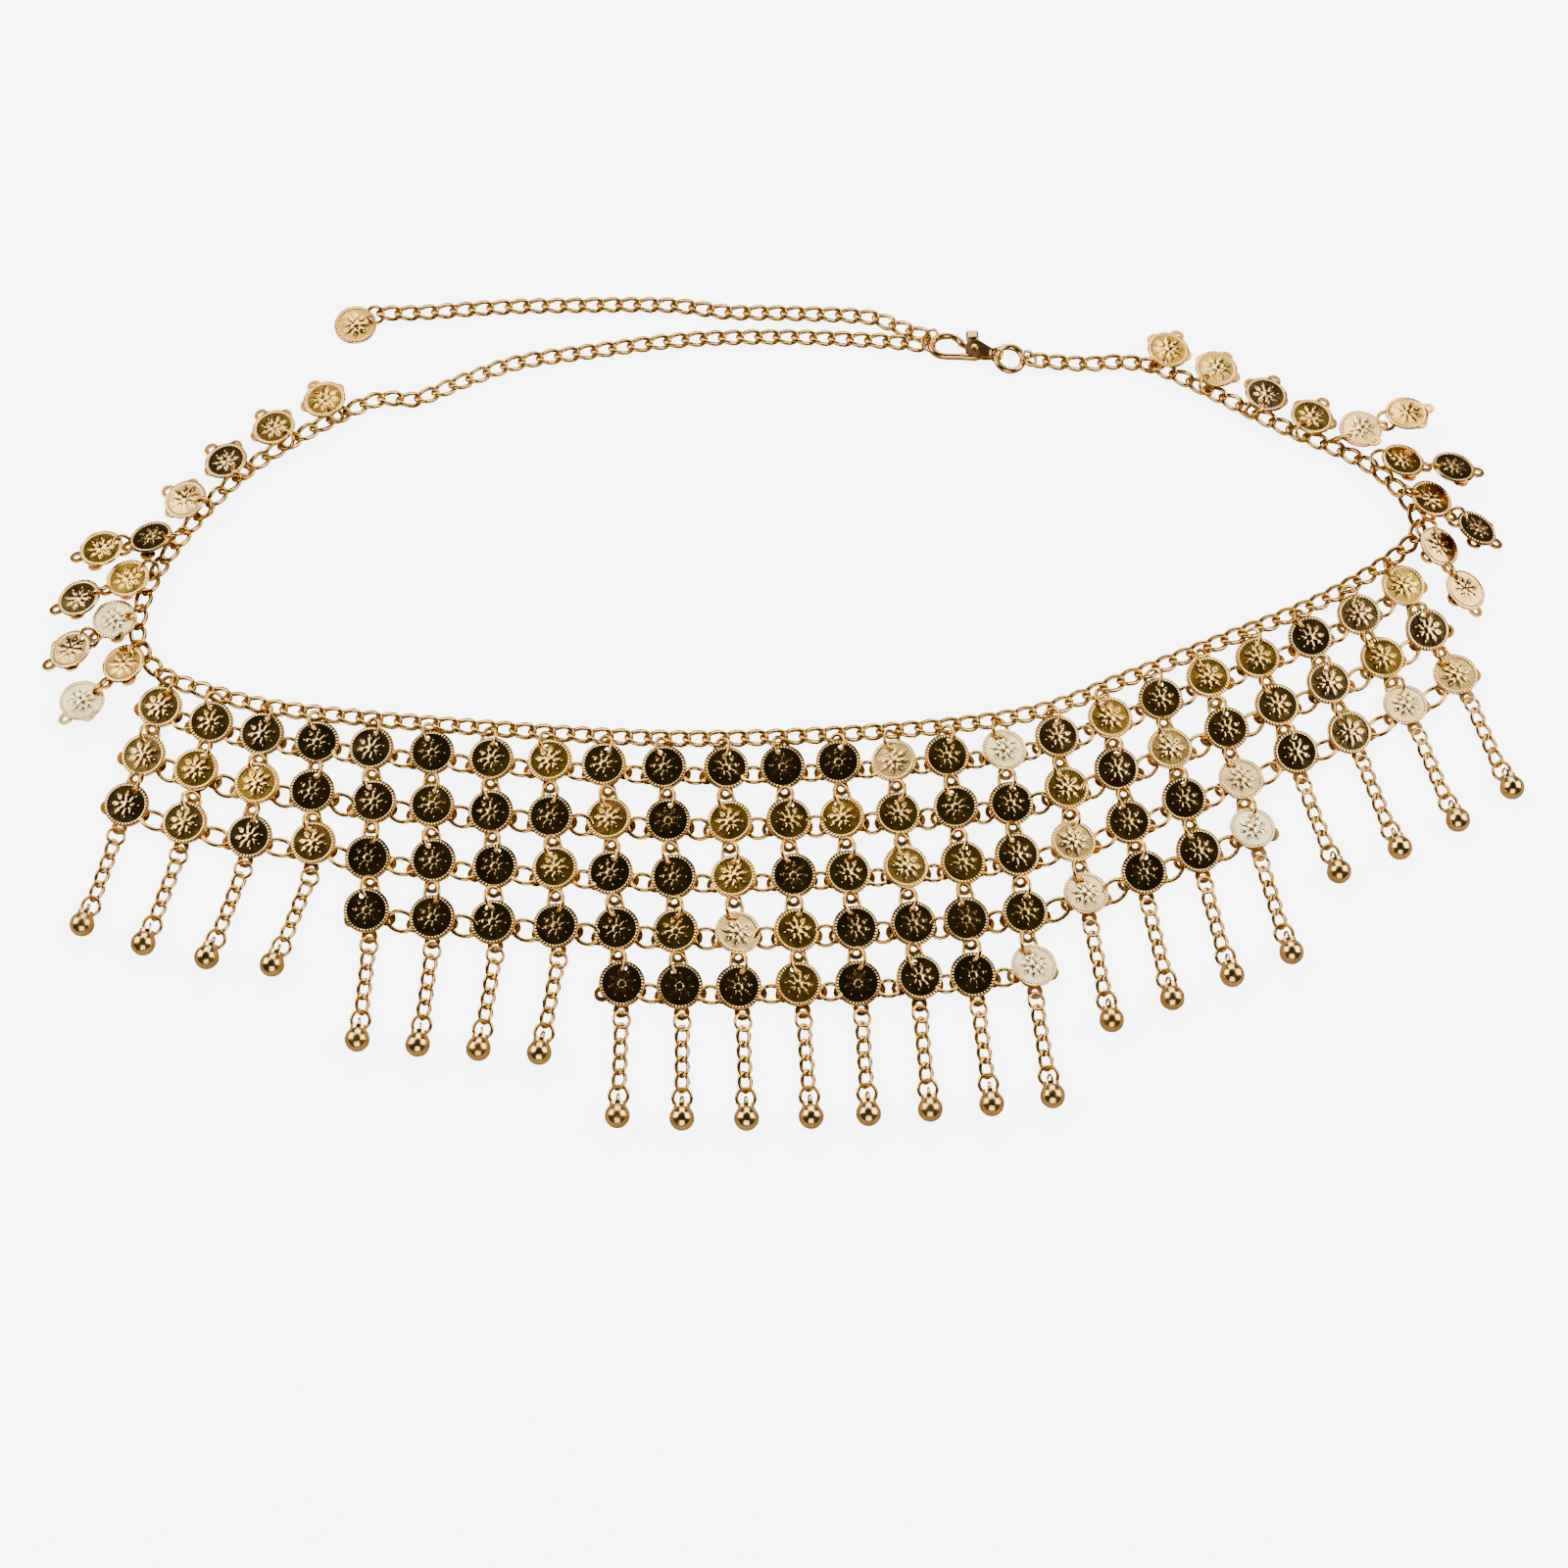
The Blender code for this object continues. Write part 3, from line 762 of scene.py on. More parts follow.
@dataclass
class PetalPlate:
    """A thin plate of four round petals, each with an eyelet, raised a little in the middle."""

    thickness: float = 0.6
    middle_radius: float = 4.4
    petal_radius: float = 2.5
    petal_from_middle: float = 5.5
    hole_from_middle: float = 5.7
    hole_radius: float = 0.95
    hole_sides: int = 8
    petal_sides: int = 12
    middle_sides: int = 16
    eyelet_radius: float = 1.2
    eyelet_wire: float = 0.55
    eyelet_sides: tuple[int, int] = (10, 4)
    crown_radius: float = 3.4
    crown_steps: tuple[Pair, ...] = ((0.9, 0.24), (1.1, 0.16), (0.5, -0.4))
    edge: float = 0.24
    hollow_polish: float = 0.35
    crease: float = 35.0

    @staticmethod
    def spots(distance: float, z: float = 0.0) -> list[Spot]:
        """The four places at a distance from the middle, one on each petal."""
        return [(x * distance, y * distance, z) for x, y in ((1, 0), (0, 1), (-1, 0), (0, -1))]

    def model(self, material: Material) -> Piece:
        """Stamp the plate.

        Args:
            material: Its finish.

        Returns:
            The plate, lying flat with its middle at the origin.
        """
        plate = add_disc("petal_plate", self.middle_radius, self.thickness, self.middle_sides)
        for spot in self.spots(self.petal_from_middle):
            petal = add_disc("petal", self.petal_radius, self.thickness, self.petal_sides, spot)
            apply_boolean(plate, petal, "UNION")
        for spot in self.spots(self.hole_from_middle):
            hole = add_disc("hole", self.hole_radius, 3 * self.thickness, self.hole_sides, spot)
            apply_boolean(plate, hole, "DIFFERENCE")
        apply_bevel(plate, self.edge)
        with Bench(plate) as bench:
            bench.faces(lambda middle, normal: normal.z > LEVEL)
            bench.inset(self.edge / 2)
        top = self.thickness / 2
        eyelets = [add_torus("eyelet", self.eyelet_radius, self.eyelet_wire, *self.eyelet_sides,
                             spot) for spot in self.spots(self.hole_from_middle, top - self.edge)]
        crown = add_disc("crown", self.crown_radius, self.thickness, self.middle_sides)
        with Bench(crown) as bench:
            bench.faces(lambda middle, normal: normal.z > UPWARD)
            for width, rise in self.crown_steps:
                bench.inset(width, rise)
        raised_from = top + self.edge / 4
        return finished(melt([plate, *eyelets, crown], "petal_plate"), material, self.crease,
                        lambda place: 1.0 if place.z > raised_from else self.hollow_polish)


@dataclass
class JumpRing:
    """A plain ring of round wire."""

    radius: float = 3.0
    wire: float = 1.3
    sides: int = 18
    wire_sides: int = 7
    cut_width: float = 0.6
    cut_shift: Spot = (0.05, 0, 0.08)
    crease: float = 80.0

    def model(self, material: Material) -> Piece:
        """Bend the ring and leave its ends a little out of line, as cut rings have them.

        Args:
            material: Its finish.

        Returns:
            The ring, lying flat with its middle at the origin.
        """
        ring = add_torus("jump_ring", self.radius, self.wire, self.sides, self.wire_sides)
        with Bench(ring) as bench:
            bench.corners(lambda place: place.x > 0 and abs(place.y) < self.cut_width)
            bench.move(*self.cut_shift)
        return finished(ring, material, self.crease)


@dataclass
class CurbLink:
    """A chain link, drawn out along x and twisted so that a row of them lies flat."""

    pitch: float = 6.0
    width: float = 5.9
    wire: float = 1.5
    sides: int = 20
    wire_sides: int = 7
    twist: float = 37.0
    stages: tuple[float, ...] = (0.42, 0.30, 0.18, 0.10)
    twisted_reach: float = 0.36
    crease: float = 80.0

    def model(self, name: str, material: Material) -> Piece:
        """Bend and twist the link.

        Args:
            name: The link's name.
            material: Its finish.

        Returns:
            The link, lying along x with its middle at the origin.
        """
        round_part = (self.width - self.wire) / 2
        half_length = (self.pitch + self.wire) / 2
        link = add_torus(name, round_part, self.wire, self.sides, self.wire_sides)
        step = 360 / self.sides
        with Bench(link) as bench:
            for side in (1, -1):
                for stage, share in reversed(list(enumerate(self.stages, start=1))):
                    beyond = (stage - 0.5) * step
                    bench.corners(lambda place: side * place.x > 0 and beyond
                                  < math.degrees(math.atan2(side * place.x, abs(place.y))))
                    bench.move(side * (half_length - round_part) * share, 0, 0)
                    bench.turn(side * self.twist * share, "X", (0, 0, 0))
        return finished(link, material, self.crease)

    @property
    def lift(self) -> float:
        """How high the middle of a link lies above the table, in mm."""
        return (self.width - self.wire) / 2 * self.twisted_reach + self.wire / 2


DROP_LINK = CurbLink(pitch=4.7, width=4.8, wire=1.25)


@dataclass
class RoundDrop:
    """The bead at the end of a short chain: a round ball with a collar and a wire loop.

    The shares say how far up the ball's radius a change of form begins.
    """

    radius: float = 3.8
    sides: int = 14
    bands: int = 10
    shoulder_share: float = 0.6
    shoulder_swell: float = 1.1
    top_share: float = 0.95
    top_dip: float = 0.06
    neck_share: float = 0.8
    neck_width: float = 0.5
    collar_radius: float = 1.95
    collar_height: float = 0.8
    collar_squeeze: float = 0.6
    loop_radius: float = 1.25
    loop_wire: float = 0.85
    loop_sides: tuple[int, int] = (10, 5)
    crease: float = 34.0

    def model(self, material: Material) -> Piece:
        """Turn the ball and add its loop.

        Args:
            material: Its finish.

        Returns:
            The drop, with its middle at the origin and its loop towards +y.
        """
        bpy.ops.mesh.primitive_uv_sphere_add(segments=self.sides, ring_count=self.bands,
                                             radius=self.radius * MM)
        ball = made("round_drop")
        collar_top = self.radius + self.collar_height
        with Bench(ball) as bench:
            bench.corners(lambda place: place.z > self.radius * self.shoulder_share)
            bench.resize(self.shoulder_swell, self.shoulder_swell, 1.0, (0, 0, 0))
            bench.corners(lambda place: place.z > self.radius * self.top_share)
            bench.move(0, 0, -self.radius * self.top_dip)
            bench.faces(lambda middle, normal: middle.z > self.radius * self.neck_share)
            bench.extrude(0, 0, self.collar_height)
            share = self.collar_radius / (self.radius * self.neck_width)
            bench.resize(share, share, self.collar_squeeze, (0, 0, collar_top))
        middle = (0, 0, collar_top + self.loop_radius / 2)
        loop = melt([add_torus("drop_loop", self.loop_radius, self.loop_wire, *self.loop_sides,
                               middle)], "drop_loop")
        with Bench(loop) as bench:
            bench.everything()
            bench.turn(90, "Y", middle)
        drop = melt([ball, loop], "round_drop")
        with Bench(drop) as bench:
            bench.everything()
            bench.turn(-90, "X", (0, 0, 0))
        return finished(drop, material, self.crease)


@dataclass
class Tray:
    """Copies of finished pieces, laid in place and joined into one."""

    name: str
    laid: list[Piece] = field(default_factory=list)

    def lay(self, pattern: Piece, place: Matrix, shine: float = 0.0) -> None:
        """Lay one copy with a mesh of its own.

        Args:
            pattern: The finished piece to copy.
            place: Where it goes, in mm.
            shine: How brightly it shines, from 0 to 1, as a painted glint in its base colour and a
                rougher finish.
        """
        mesh = pattern.data.copy()
        mark(mesh, Mark.PAINTED_SHINE, lambda _: shine)
        copy = bpy.data.objects.new(self.name, mesh)
        bpy.context.collection.objects.link(copy)
        copy.matrix_world = in_metres(place)
        self.laid.append(copy)

    def join(self, body: Body, slot: Slot, *nodes: str) -> None:
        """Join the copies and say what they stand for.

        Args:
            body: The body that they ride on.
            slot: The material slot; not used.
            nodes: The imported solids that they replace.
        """
        hand_over(melt(self.laid, self.name), body, slot, *nodes)


def hand_over(piece: Piece, body: Body, slot: Slot, *nodes: str) -> None:
    """Say what a finished piece rides on and the solids it replaces, and report it."""
    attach(piece, body.value)
    if nodes:
        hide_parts(*nodes)
    LOG.info("%s: %d faces for %s", piece.name, len(piece.data.polygons), ", ".join(nodes))


@dataclass
class Patterns:
    """The finished pieces that are copied all over the chain."""

    coin: Piece
    plate: Piece
    ring: Piece
    waist_link: Piece
    drop_link: Piece
    drop: Piece

    @classmethod
    def make(cls, finishes: dict[str, Material]) -> "Patterns":
        """Model each repeated piece once.

        Args:
            finishes: The materials by name.

        Returns:
            The set of patterns.
        """
        wire = finishes[WIRE_GOLD.name]
        return cls(
            coin=PressedCoin().model(finishes[COIN_GOLD.name]),
            plate=PetalPlate().model(finishes[PLATE_GOLD.name]),
            ring=JumpRing().model(wire),
            waist_link=CurbLink().model("waist_link", wire),
            drop_link=DROP_LINK.model("drop_link", wire),
            drop=RoundDrop().model(finishes[DROP_GOLD.name]),
        )

    def clear(self) -> None:
        """Remove the patterns once every copy is laid."""
        for pattern in vars(self).values():
            bpy.data.objects.remove(pattern, do_unlink=True)


@dataclass
class CurbChain:
    """A curb chain along a route, joined into one piece for each packed stretch."""

    route: Route
    stretches: Sequence[tuple[str, Optional[float]]]
    patterns: Patterns
    link: CurbLink = field(default_factory=CurbLink)

    def build(self) -> None:
        """Space the links evenly along the route and lay them stretch by stretch."""
        count = round(self.route.length / self.link.pitch)
        pitch = self.route.length / count
        places = [(k + 0.5) * pitch for k in range(count)]
        start = 0.0
        for name, end in self.stretches:
            end = self.route.length if end is None else end
            tray = Tray(name.replace("_chain", "_links"))
            for distance in places:
                if start <= distance < end:
                    tray.lay(self.patterns.waist_link, self.place(distance))
            tray.join(Body.BELT, Slot.CHAIN, name)
            start = end

    def place(self, distance: float) -> Matrix:
        """Where the link at a distance along the chain lies, in mm."""
        return (Matrix.Translation(centred(*self.route.at(distance), self.link.lift))
                @ Matrix.Rotation(self.route.angle(distance), 4, "Z"))


class NetColumn:
    """One hanging strip of the net: where it hangs, how it lies and what is laid on it."""

    PLATE_REACH = 8.0
    HOLE = 5.7
    ROLL_CLEARANCE = 0.03

    def __init__(self, number: int, section: int, place: int, route: Route) -> None:
        """Read the section's row of the table at this column's share of it.

        Args:
            number: The column's number from the left, from 1.
            section: Which section it belongs to.
            place: Which column of the section it is.
            route: The chain's centre line.
        """
        row = dict(zip(SECTION_COLUMNS, SECTIONS[section]))
        share = place / (COLUMNS_PER_SECTION - 1)
        self.number = number
        self.tray = Tray(f"net_column_{number:02d}")
        self.rows = int(row["rows"])
        self.out = row["out"]
        self.row_pitch = row["row_pitch"]
        self.lean = row["lean"]
        self.roll = row["roll"]
        self.hang, self.fan, along = (
            row[f"{key}start"] + share * (row[f"{key}end"] - row[f"{key}start"])
            for key in ("hang_", "fan_", ""))
        lift = ((self.out + self.PLATE_REACH) * math.sin(math.radians(self.lean))
                + self.PLATE_REACH * math.sin(math.radians(abs(self.roll)))
                + (self.ROLL_CLEARANCE if self.roll else 0))
        self.place = (Matrix.Translation(centred(*route.at(NET_START + along), lift))
                      @ turned(self.hang, "Z") @ turned(self.lean, "X") @ turned(-self.roll, "Y"))

    def row_y(self, row: int) -> float:
        """How far the plate of a row lies below the chain, as a local y."""
        return -(self.out + row * self.row_pitch)

    def petal_hole(self, row: int, side: int) -> Vector:
        """Where the hole of a side petal is on the table."""
        return self.place @ Vector((side * self.HOLE, self.row_y(row), 0))

    def side(self, row: int) -> int:
        """Which side of the ring above a coin is the raised one that passes through its hole."""
        return 1 if (self.number + row) % 2 else -1

    def join(self) -> None:
        """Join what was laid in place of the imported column."""
        self.tray.join(Body.BELT, Slot.NET, f"coin_column_{self.number:02d}")


@dataclass(frozen=True)
class DropChain:
    """Where the pieces of a short chain lie: how far past the last plate's foot, and how high."""

    first_ring: Pair = (-0.6, 1.5)
    first_tilt: float = 20.0
    first_scale: float = 0.85
    links: int = 4
    first_link: float = -4.9
    bend_spread: float = 7.0
    last_ring: Pair = (-23.9, 1.6)
    last_tilt: float = 14.0
    last_scale: float = 0.92
    drop: Pair = (-30.6, 3.85)
    drop_turn: float = 30.0


@dataclass
class CoinNet:
    """The forty columns: plates, coins, rings and the short chains with their drops."""

    route: Route
    patterns: Patterns
    plate_height: float = 1.15
    # How much weaker a plate's painted glint is than its coin's
    plate_painted_shine_cut: float = 0.25
    ring_height: float = 2.32
    ring_tilt: float = 38.0
    ring_between_holes: float = 5.9
    ring_past_middle: float = 0.8
    ring_overlap: float = 0.4
    top_ring_from_hole: float = 2.5
    side_ring_height: float = 1.5
    side_ring_tilt: float = 18.0
    side_ring_longest: float = 9.5
    side_ring_overlap: float = 0.3
    coin_shift: float = 2.3
    coin_foot: float = 1.6
    coin_tilt: float = 8.0
    coin_tilt_spread: float = 2.5
    coin_roll_spread: float = 4.0
    coin_turn: float = 14.0
    coin_turn_spread: float = 3.0
    coin_slide: float = 0.8
    coin_slide_up: float = 0.4
    catch: float = 1.1
    chance: random.Random = field(default_factory=lambda: random.Random(11))

    def build(self) -> None:
        """Lay every column."""
        places = [(section, place) for section in range(len(SECTIONS))
                  for place in range(COLUMNS_PER_SECTION)]
        columns = [NetColumn(number, section, place, self.route)
                   for number, (section, place) in enumerate(places, start=1)]
        for column, right in zip(columns, [*columns[1:], None]):
            for row in range(column.rows):
                self.lay_plate_and_coin(column, row)
                self.lay_upper_ring(column, row)
                self.lay_side_ring(column, right, row)
            if column.rows >= ROWS_WITH_DROP:
                self.lay_drop(column)
            column.join()

    def around(self, middle: float, spread: float) -> float:
        """A chance value up to a spread away from the middle."""
        return middle + self.chance.uniform(-1, 1) * spread

    def lay_plate_and_coin(self, column: NetColumn, row: int) -> None:
        """Lay one plate with its coin leaning on it.

        Args:
            column: The column they belong to.
            row: Their row, from the chain down.
        """
        y = column.row_y(row)
        # The coin's painted glint value also sets how far it is leant to a lamp; its plate gets a
        # weaker painted glint.
        shine = COIN_LEAN_AND_PAINTED_SHINE[column.number - 1][row]
        column.tray.lay(self.patterns.plate, column.place @ shift(0, y, self.plate_height),
                        max(shine - self.plate_painted_shine_cut, 0.0))
        tilt = self.around(self.coin_tilt, self.coin_tilt_spread)
        roll = self.around(0, self.coin_roll_spread)
        turn = self.around(-column.side(row) * self.coin_turn, self.coin_turn_spread)
        height = self.coin_foot + PressedCoin.radius * (
            math.sin(math.radians(tilt)) + abs(math.sin(math.radians(roll))) / 2)
        aside = self.around(0, self.coin_slide)
        down = self.chance.uniform(-1, self.coin_slide_up) * self.coin_slide
        leaning = (shift(aside, y + self.coin_shift + down, height)
                   @ turned(tilt, "X") @ turned(roll, "Y") @ turned(turn, "Z"))
        column.tray.lay(self.patterns.coin, caught_light(column.place @ leaning,
                                                         min(shine * self.catch, 1.0)), shine)

    def lay_upper_ring(self, column: NetColumn, row: int) -> None:
        """Lay the ring that holds a plate and its coin to what is above.

        Args:
            column: The column.
            row: The row of the plate that hangs from the ring.
        """
        span = column.row_pitch - 2 * column.HOLE
        past_hole = self.top_ring_from_hole if row == 0 else span / 2
        stretch = 1.0 if row == 0 else (span + self.ring_overlap) / self.ring_between_holes
        y = column.row_y(row) + column.HOLE + past_hole + self.ring_past_middle
        column.tray.lay(self.patterns.ring, column.place @ shift(0, y, self.ring_height)
                        @ turned(-column.side(row) * self.ring_tilt, "Y")
                        @ Matrix.Diagonal((1, stretch, 1, 1)))

    def lay_side_ring(self, column: NetColumn, right: Optional[NetColumn], row: int) -> None:
        """Lay the ring that ties a plate to the next column's, where both lie flat and near.

        Args:
            column: The column.
            right: The next column, or None after the last.
            row: The row of both plates.
        """
        if right is None or row >= right.rows or column.roll or right.roll or column.lean:
            return
        start = column.petal_hole(row, 1)
        end = right.petal_hole(row, -1)
        step = end - start
        if step.length > self.side_ring_longest:
            return
        middle = (start + end) / 2
        stretch = (step.length + self.side_ring_overlap) / self.ring_between_holes
        column.tray.lay(self.patterns.ring, shift(middle.x, middle.y, self.side_ring_height)
                        @ Matrix.Rotation(math.atan2(step.y, step.x), 4, "Z")
                        @ turned(self.side_ring_tilt * (1 if row % 2 else -1), "X")
                        @ Matrix.Diagonal((stretch, 1, 1, 1)))

    def lay_drop(self, column: NetColumn) -> None:
        """Lay the short chain below the last plate: ring, four links, ring and round drop.

        Args:
            column: The column that it hangs from.
        """
        sizes = DropChain()
        lay = column.tray.lay
        foot = column.row_y(column.rows - 1) - column.PLATE_REACH
        line = column.place @ shift(0, foot, 0) @ turned(column.fan - column.hang, "Z")
        lay(self.patterns.ring, line @ shift(0, *sizes.first_ring) @ turned(sizes.first_tilt, "Y")
            @ Matrix.Scale(sizes.first_scale, 4))
        for k in range(sizes.links):
            y = sizes.first_link - k * DROP_LINK.pitch
            lay(self.patterns.drop_link, line @ shift(0, y, DROP_LINK.lift) @ turned(90, "Z")
                @ turned(self.around(0, sizes.bend_spread), "Z"))
        lay(self.patterns.ring, line @ shift(0, *sizes.last_ring) @ turned(sizes.last_tilt, "X")
            @ Matrix.Scale(sizes.last_scale, 4))
        lay(self.patterns.drop, line @ shift(0, *sizes.drop)
            @ turned(self.chance.uniform(0, sizes.drop_turn), "Y"))


class Rod(NamedTuple):
    """A short round rod of the clasp, placed from the middle of its pin."""

    name: str
    radius: float
    depth: float
    sides: int
    from_pin: Spot
    edge: float


CLASP_RODS = (
    Rod("clasp_web", 1.5, 1.5, 12, (4.4, -1.2, 1.5), 0),
    Rod("pin_head", 1.15, 0.7, 12, (0, 0, 3.2), 0.3),
    Rod("pin_shank", 0.55, 2.4, 10, (0, 0, 1.5), 0),
    Rod("bar_rivet", 0.75, 0.5, 10, (3.9, -3.0, 2.5), 0.2),
)


@dataclass
class SpringClasp:
    """The clasp: an oval hook on a bar, two cheeks round a pin, a gate with a thumb tab."""

    finish: Material
    patterns: Patterns
    hook_centre: Pair = (53.4, 153.6)
    hook_radii: Pair = (5.0, 3.85)
    hook_from: float = 71.0
    hook_sweep: float = -199.0
    hook_steps: int = 16
    wire_sides: int = 12
    mitre: float = 22.0
    wire: float = 2.7
    height: float = 1.45
    bar_pulls: tuple[Pair, ...] = ((4.0, -0.1), (4.6, -0.4), (2.6, 0.2))
    bar_end_scale: Spot = (0.9, 0.9, 0.85)
    bar_tip_pull: Spot = (1.5, 0.8, 0)
    bar_tip_scale: Spot = (0.7, 0.7, 0.7)
    gate_from: float = 62.0
    gate_sweep: float = 46.0
    gate_steps: int = 6
    gate_wire: float = 2.4
    gate_pulls: tuple[Pair, ...] = ((0.5, -0.9), (1.5, -1.3))
    gate_end_flat: float = 0.5
    cheek_radius: float = 2.9
    cheek_thickness: float = 0.8
    cheek_sides: int = 20
    cheek_shift: float = 0.5
    cheek_heights: Pair = (0.45, 2.55)
    cheek_top: float = 2.95
    cheek_pulls: tuple[Spot, ...] = ((1.9, -0.9, 0.8), (1.6, -0.6, 0.75))
    cheek_pulled_to: tuple[Pair, ...] = ((4.6, -0.6), (6.2, -1.2))
    cheek_foot_pull: float = 1.0
    cheek_edge: float = 0.25
    cheek_inset: float = 0.2
    hub_radius: float = 2.3
    hub_thickness: float = 1.1
    hub_sides: int = 16
    hub_edge: float = 0.2
    hub_height: float = 1.5
    hub_pull: Spot = (-0.4, 1.5, 0.2)
    hub_widening: float = 1.8
    tab_from_pin: Spot = (-0.6, 4.7, 2.1)
    tab_width: float = 4.1
    tab_height: float = 1.7
    tab_edge: float = 0.75
    tab_edge_steps: int = 4
    tab_lean: float = 5.0
    tab_dish: tuple[Pair, ...] = ((0.35, 0.0), (0.25, -0.18))
    # How much of the bright colour the thumb tab keeps under its painted dark reflection
    tab_painted_reflection_share: float = 0.4
    tab_beyond: Pair = (-3.0, 2.4)
    pin: Pair = (62.5, 152.2)
    eye_radius: float = 2.0
    eye_wire: float = 1.25
    eye_sides: tuple[int, int] = (18, 8)
    eye_shift: float = 1.3
    eye_height: float = 2.15
    eye_turns: tuple[tuple[float, str], ...] = ((50.0, "X"), (18.0, "Z"))
    ring_centre: Pair = (74.0, 148.9)
    ring_radius: float = 4.45
    ring_wire: float = 2.2
    ring_sides: tuple[int, int] = (28, 10)
    ring_height: float = 1.55
    ring_lean: float = 7.0
    ties: tuple[Spot, ...] = ((80.4, 148.7, 30), (47.3, 154.2, 35), (48.4, 156.7, -38))
    tie_height: float = 2.1
    tie_scale: float = 0.85
    crease: float = 40.0

    def build(self) -> None:
        """Make the body, the gate, the ring and the light rings that hold the chains."""
        self.build_body()
        self.build_gate()
        self.build_ring()
        ties = Tray("clasp_tie_rings")
        for x, y, tilt in self.ties:
            ties.lay(self.patterns.ring, Matrix.Translation(centred(x, y, self.tie_height))
                     @ turned(tilt, "Y") @ Matrix.Scale(self.tie_scale, 4))
        ties.join(Body.BELT, Slot.CHAIN)

    def bent_wire(self, name: str, wire: float, first: float, sweep: float, steps: int,
                  draw_out: Callable[[Bench], None]) -> Piece:
        """Spin a round section along the hook's oval from a mitred tip, and draw its end out.

        Args:
            name: The object's name.
            wire: The wire's diameter in mm.
            first: The tip's bearing from the hook's middle.
            sweep: How far the wire bends round, clockwise where it is negative.
            steps: How many lengths the bend has.
            draw_out: Shapes the far end beyond the bend.

        Returns:
            The wire, in place.
        """
        centre = self.hook_middle
        angle = math.radians(first)
        tip = centre + self.hook_radii[0] * Vector((math.cos(angle), math.sin(angle), 0))
        bpy.ops.mesh.primitive_circle_add(vertices=self.wire_sides, radius=wire / 2 * MM,
                                          fill_type="NGON", location=tip * MM,
                                          rotation=(math.radians(90), 0, angle))
        piece = melt([made(name)], name)

        def at_tip(place: Vector) -> bool:
            """Whether a corner lies on the tip's own section."""
            offset = place - centre
            return abs(math.degrees(math.atan2(offset.y, offset.x)) - first) < 2

        with Bench(piece) as bench:
            bench.everything()
            bpy.ops.mesh.spin(steps=steps, angle=math.radians(abs(sweep)), center=centre * MM,
                              axis=(0, 0, math.copysign(1, sweep)))
            draw_out(bench)
            bench.corners(at_tip)
            bench.turn(-self.mitre, "Z", tuple(tip))
            bench.everything()
            bench.resize(1, self.hook_radii[1] / self.hook_radii[0], 1, (centre.x, centre.y, 0))
            bpy.ops.mesh.normals_make_consistent(inside=False)
        return piece

    @property
    def hook_middle(self) -> Vector:
        """The middle of the hook's oval, in mm."""
        return centred(*self.hook_centre, self.height)

    def from_pin(self, x: float, y: float, z: float) -> Spot:
        """A place measured from the pin's middle, at its own height above the table."""
        return tuple(centred(*self.pin) + Vector((x, y, z)))

    def draw_bar(self, bench: Bench) -> None:
        """Draw the hook's wire out into the bar and taper the bar's end."""
        for x, y in self.bar_pulls:
            bench.extrude(x, y, 0)
        x, y = (sum(pulls) for pulls in zip(*self.bar_pulls))
        end = self.hook_middle + Vector((x, y - self.hook_radii[0], 0))
        bench.resize(*self.bar_end_scale, tuple(end))
        bench.extrude(*self.bar_tip_pull)
        bench.resize(*self.bar_tip_scale, tuple(end + Vector(self.bar_tip_pull)))

    def draw_arm(self, bench: Bench) -> None:
        """Draw the gate's wire back to its hub and flatten its end."""
        for x, y in self.gate_pulls:
            bench.extrude(x, y, 0)
        bench.resize(1, 1, self.gate_end_flat, (0, 0, self.height))

    def cheek(self, height: float) -> Piece:
        """Cut one cheek and draw it out towards the eye.

        Args:
            height: Its middle above the table, in mm.

        Returns:
            The cheek, in place.
        """
        cheek = add_disc("clasp_cheek", self.cheek_radius, self.cheek_thickness, self.cheek_sides,
                         self.from_pin(0, self.cheek_shift, height))
        with Bench(cheek) as bench:
            bench.faces(lambda _, normal: normal.y < -SIDEWAYS)
            bench.move(0, -self.cheek_foot_pull, 0)
            bench.faces(lambda _, normal: normal.x > SIDEWAYS)
            for (x, y, narrowing), reached in zip(self.cheek_pulls, self.cheek_pulled_to):
                bench.extrude(x, y, 0)
                bench.resize(1, narrowing, 1, self.from_pin(*reached, height))
        apply_bevel(cheek, self.cheek_edge)
        with Bench(cheek) as bench:
            bench.faces(lambda _, normal: normal.z > LEVEL)
            bench.inset(self.cheek_inset)
        return cheek

    def build_body(self) -> None:
        """Make the body: hook, bar, cheeks, pin and the eye at its end."""
        parts = [self.bent_wire("clasp_hook", self.wire, self.hook_from, self.hook_sweep,
                                self.hook_steps, self.draw_bar)]
        parts += [self.cheek(height) for height in self.cheek_heights]
        for rod in CLASP_RODS:
            parts.append(add_disc(rod.name, rod.radius, rod.depth, rod.sides,
                                  self.from_pin(*rod.from_pin)))
            if rod.edge:
                apply_bevel(parts[-1], rod.edge)
        x, y = self.ring_centre
        at = tuple(centred(x - self.ring_radius, y + self.eye_shift, self.eye_height))
        eye = add_torus("clasp_eye", self.eye_radius, self.eye_wire, *self.eye_sides, at)
        with Bench(eye) as bench:
            bench.everything()
            for degrees, axis in self.eye_turns:
                bench.turn(degrees, axis, at)
        # The upper cheek's flat top is painted dark: a painted reflection of the dark room
        # overhead.
        self.dress(melt([*parts, eye], "clasp_hook_and_cheeks"), Body.BELT, "clasp_body",
                   lambda place: 0.0 if abs(place.z - self.cheek_top) < 0.01 else 1.0)

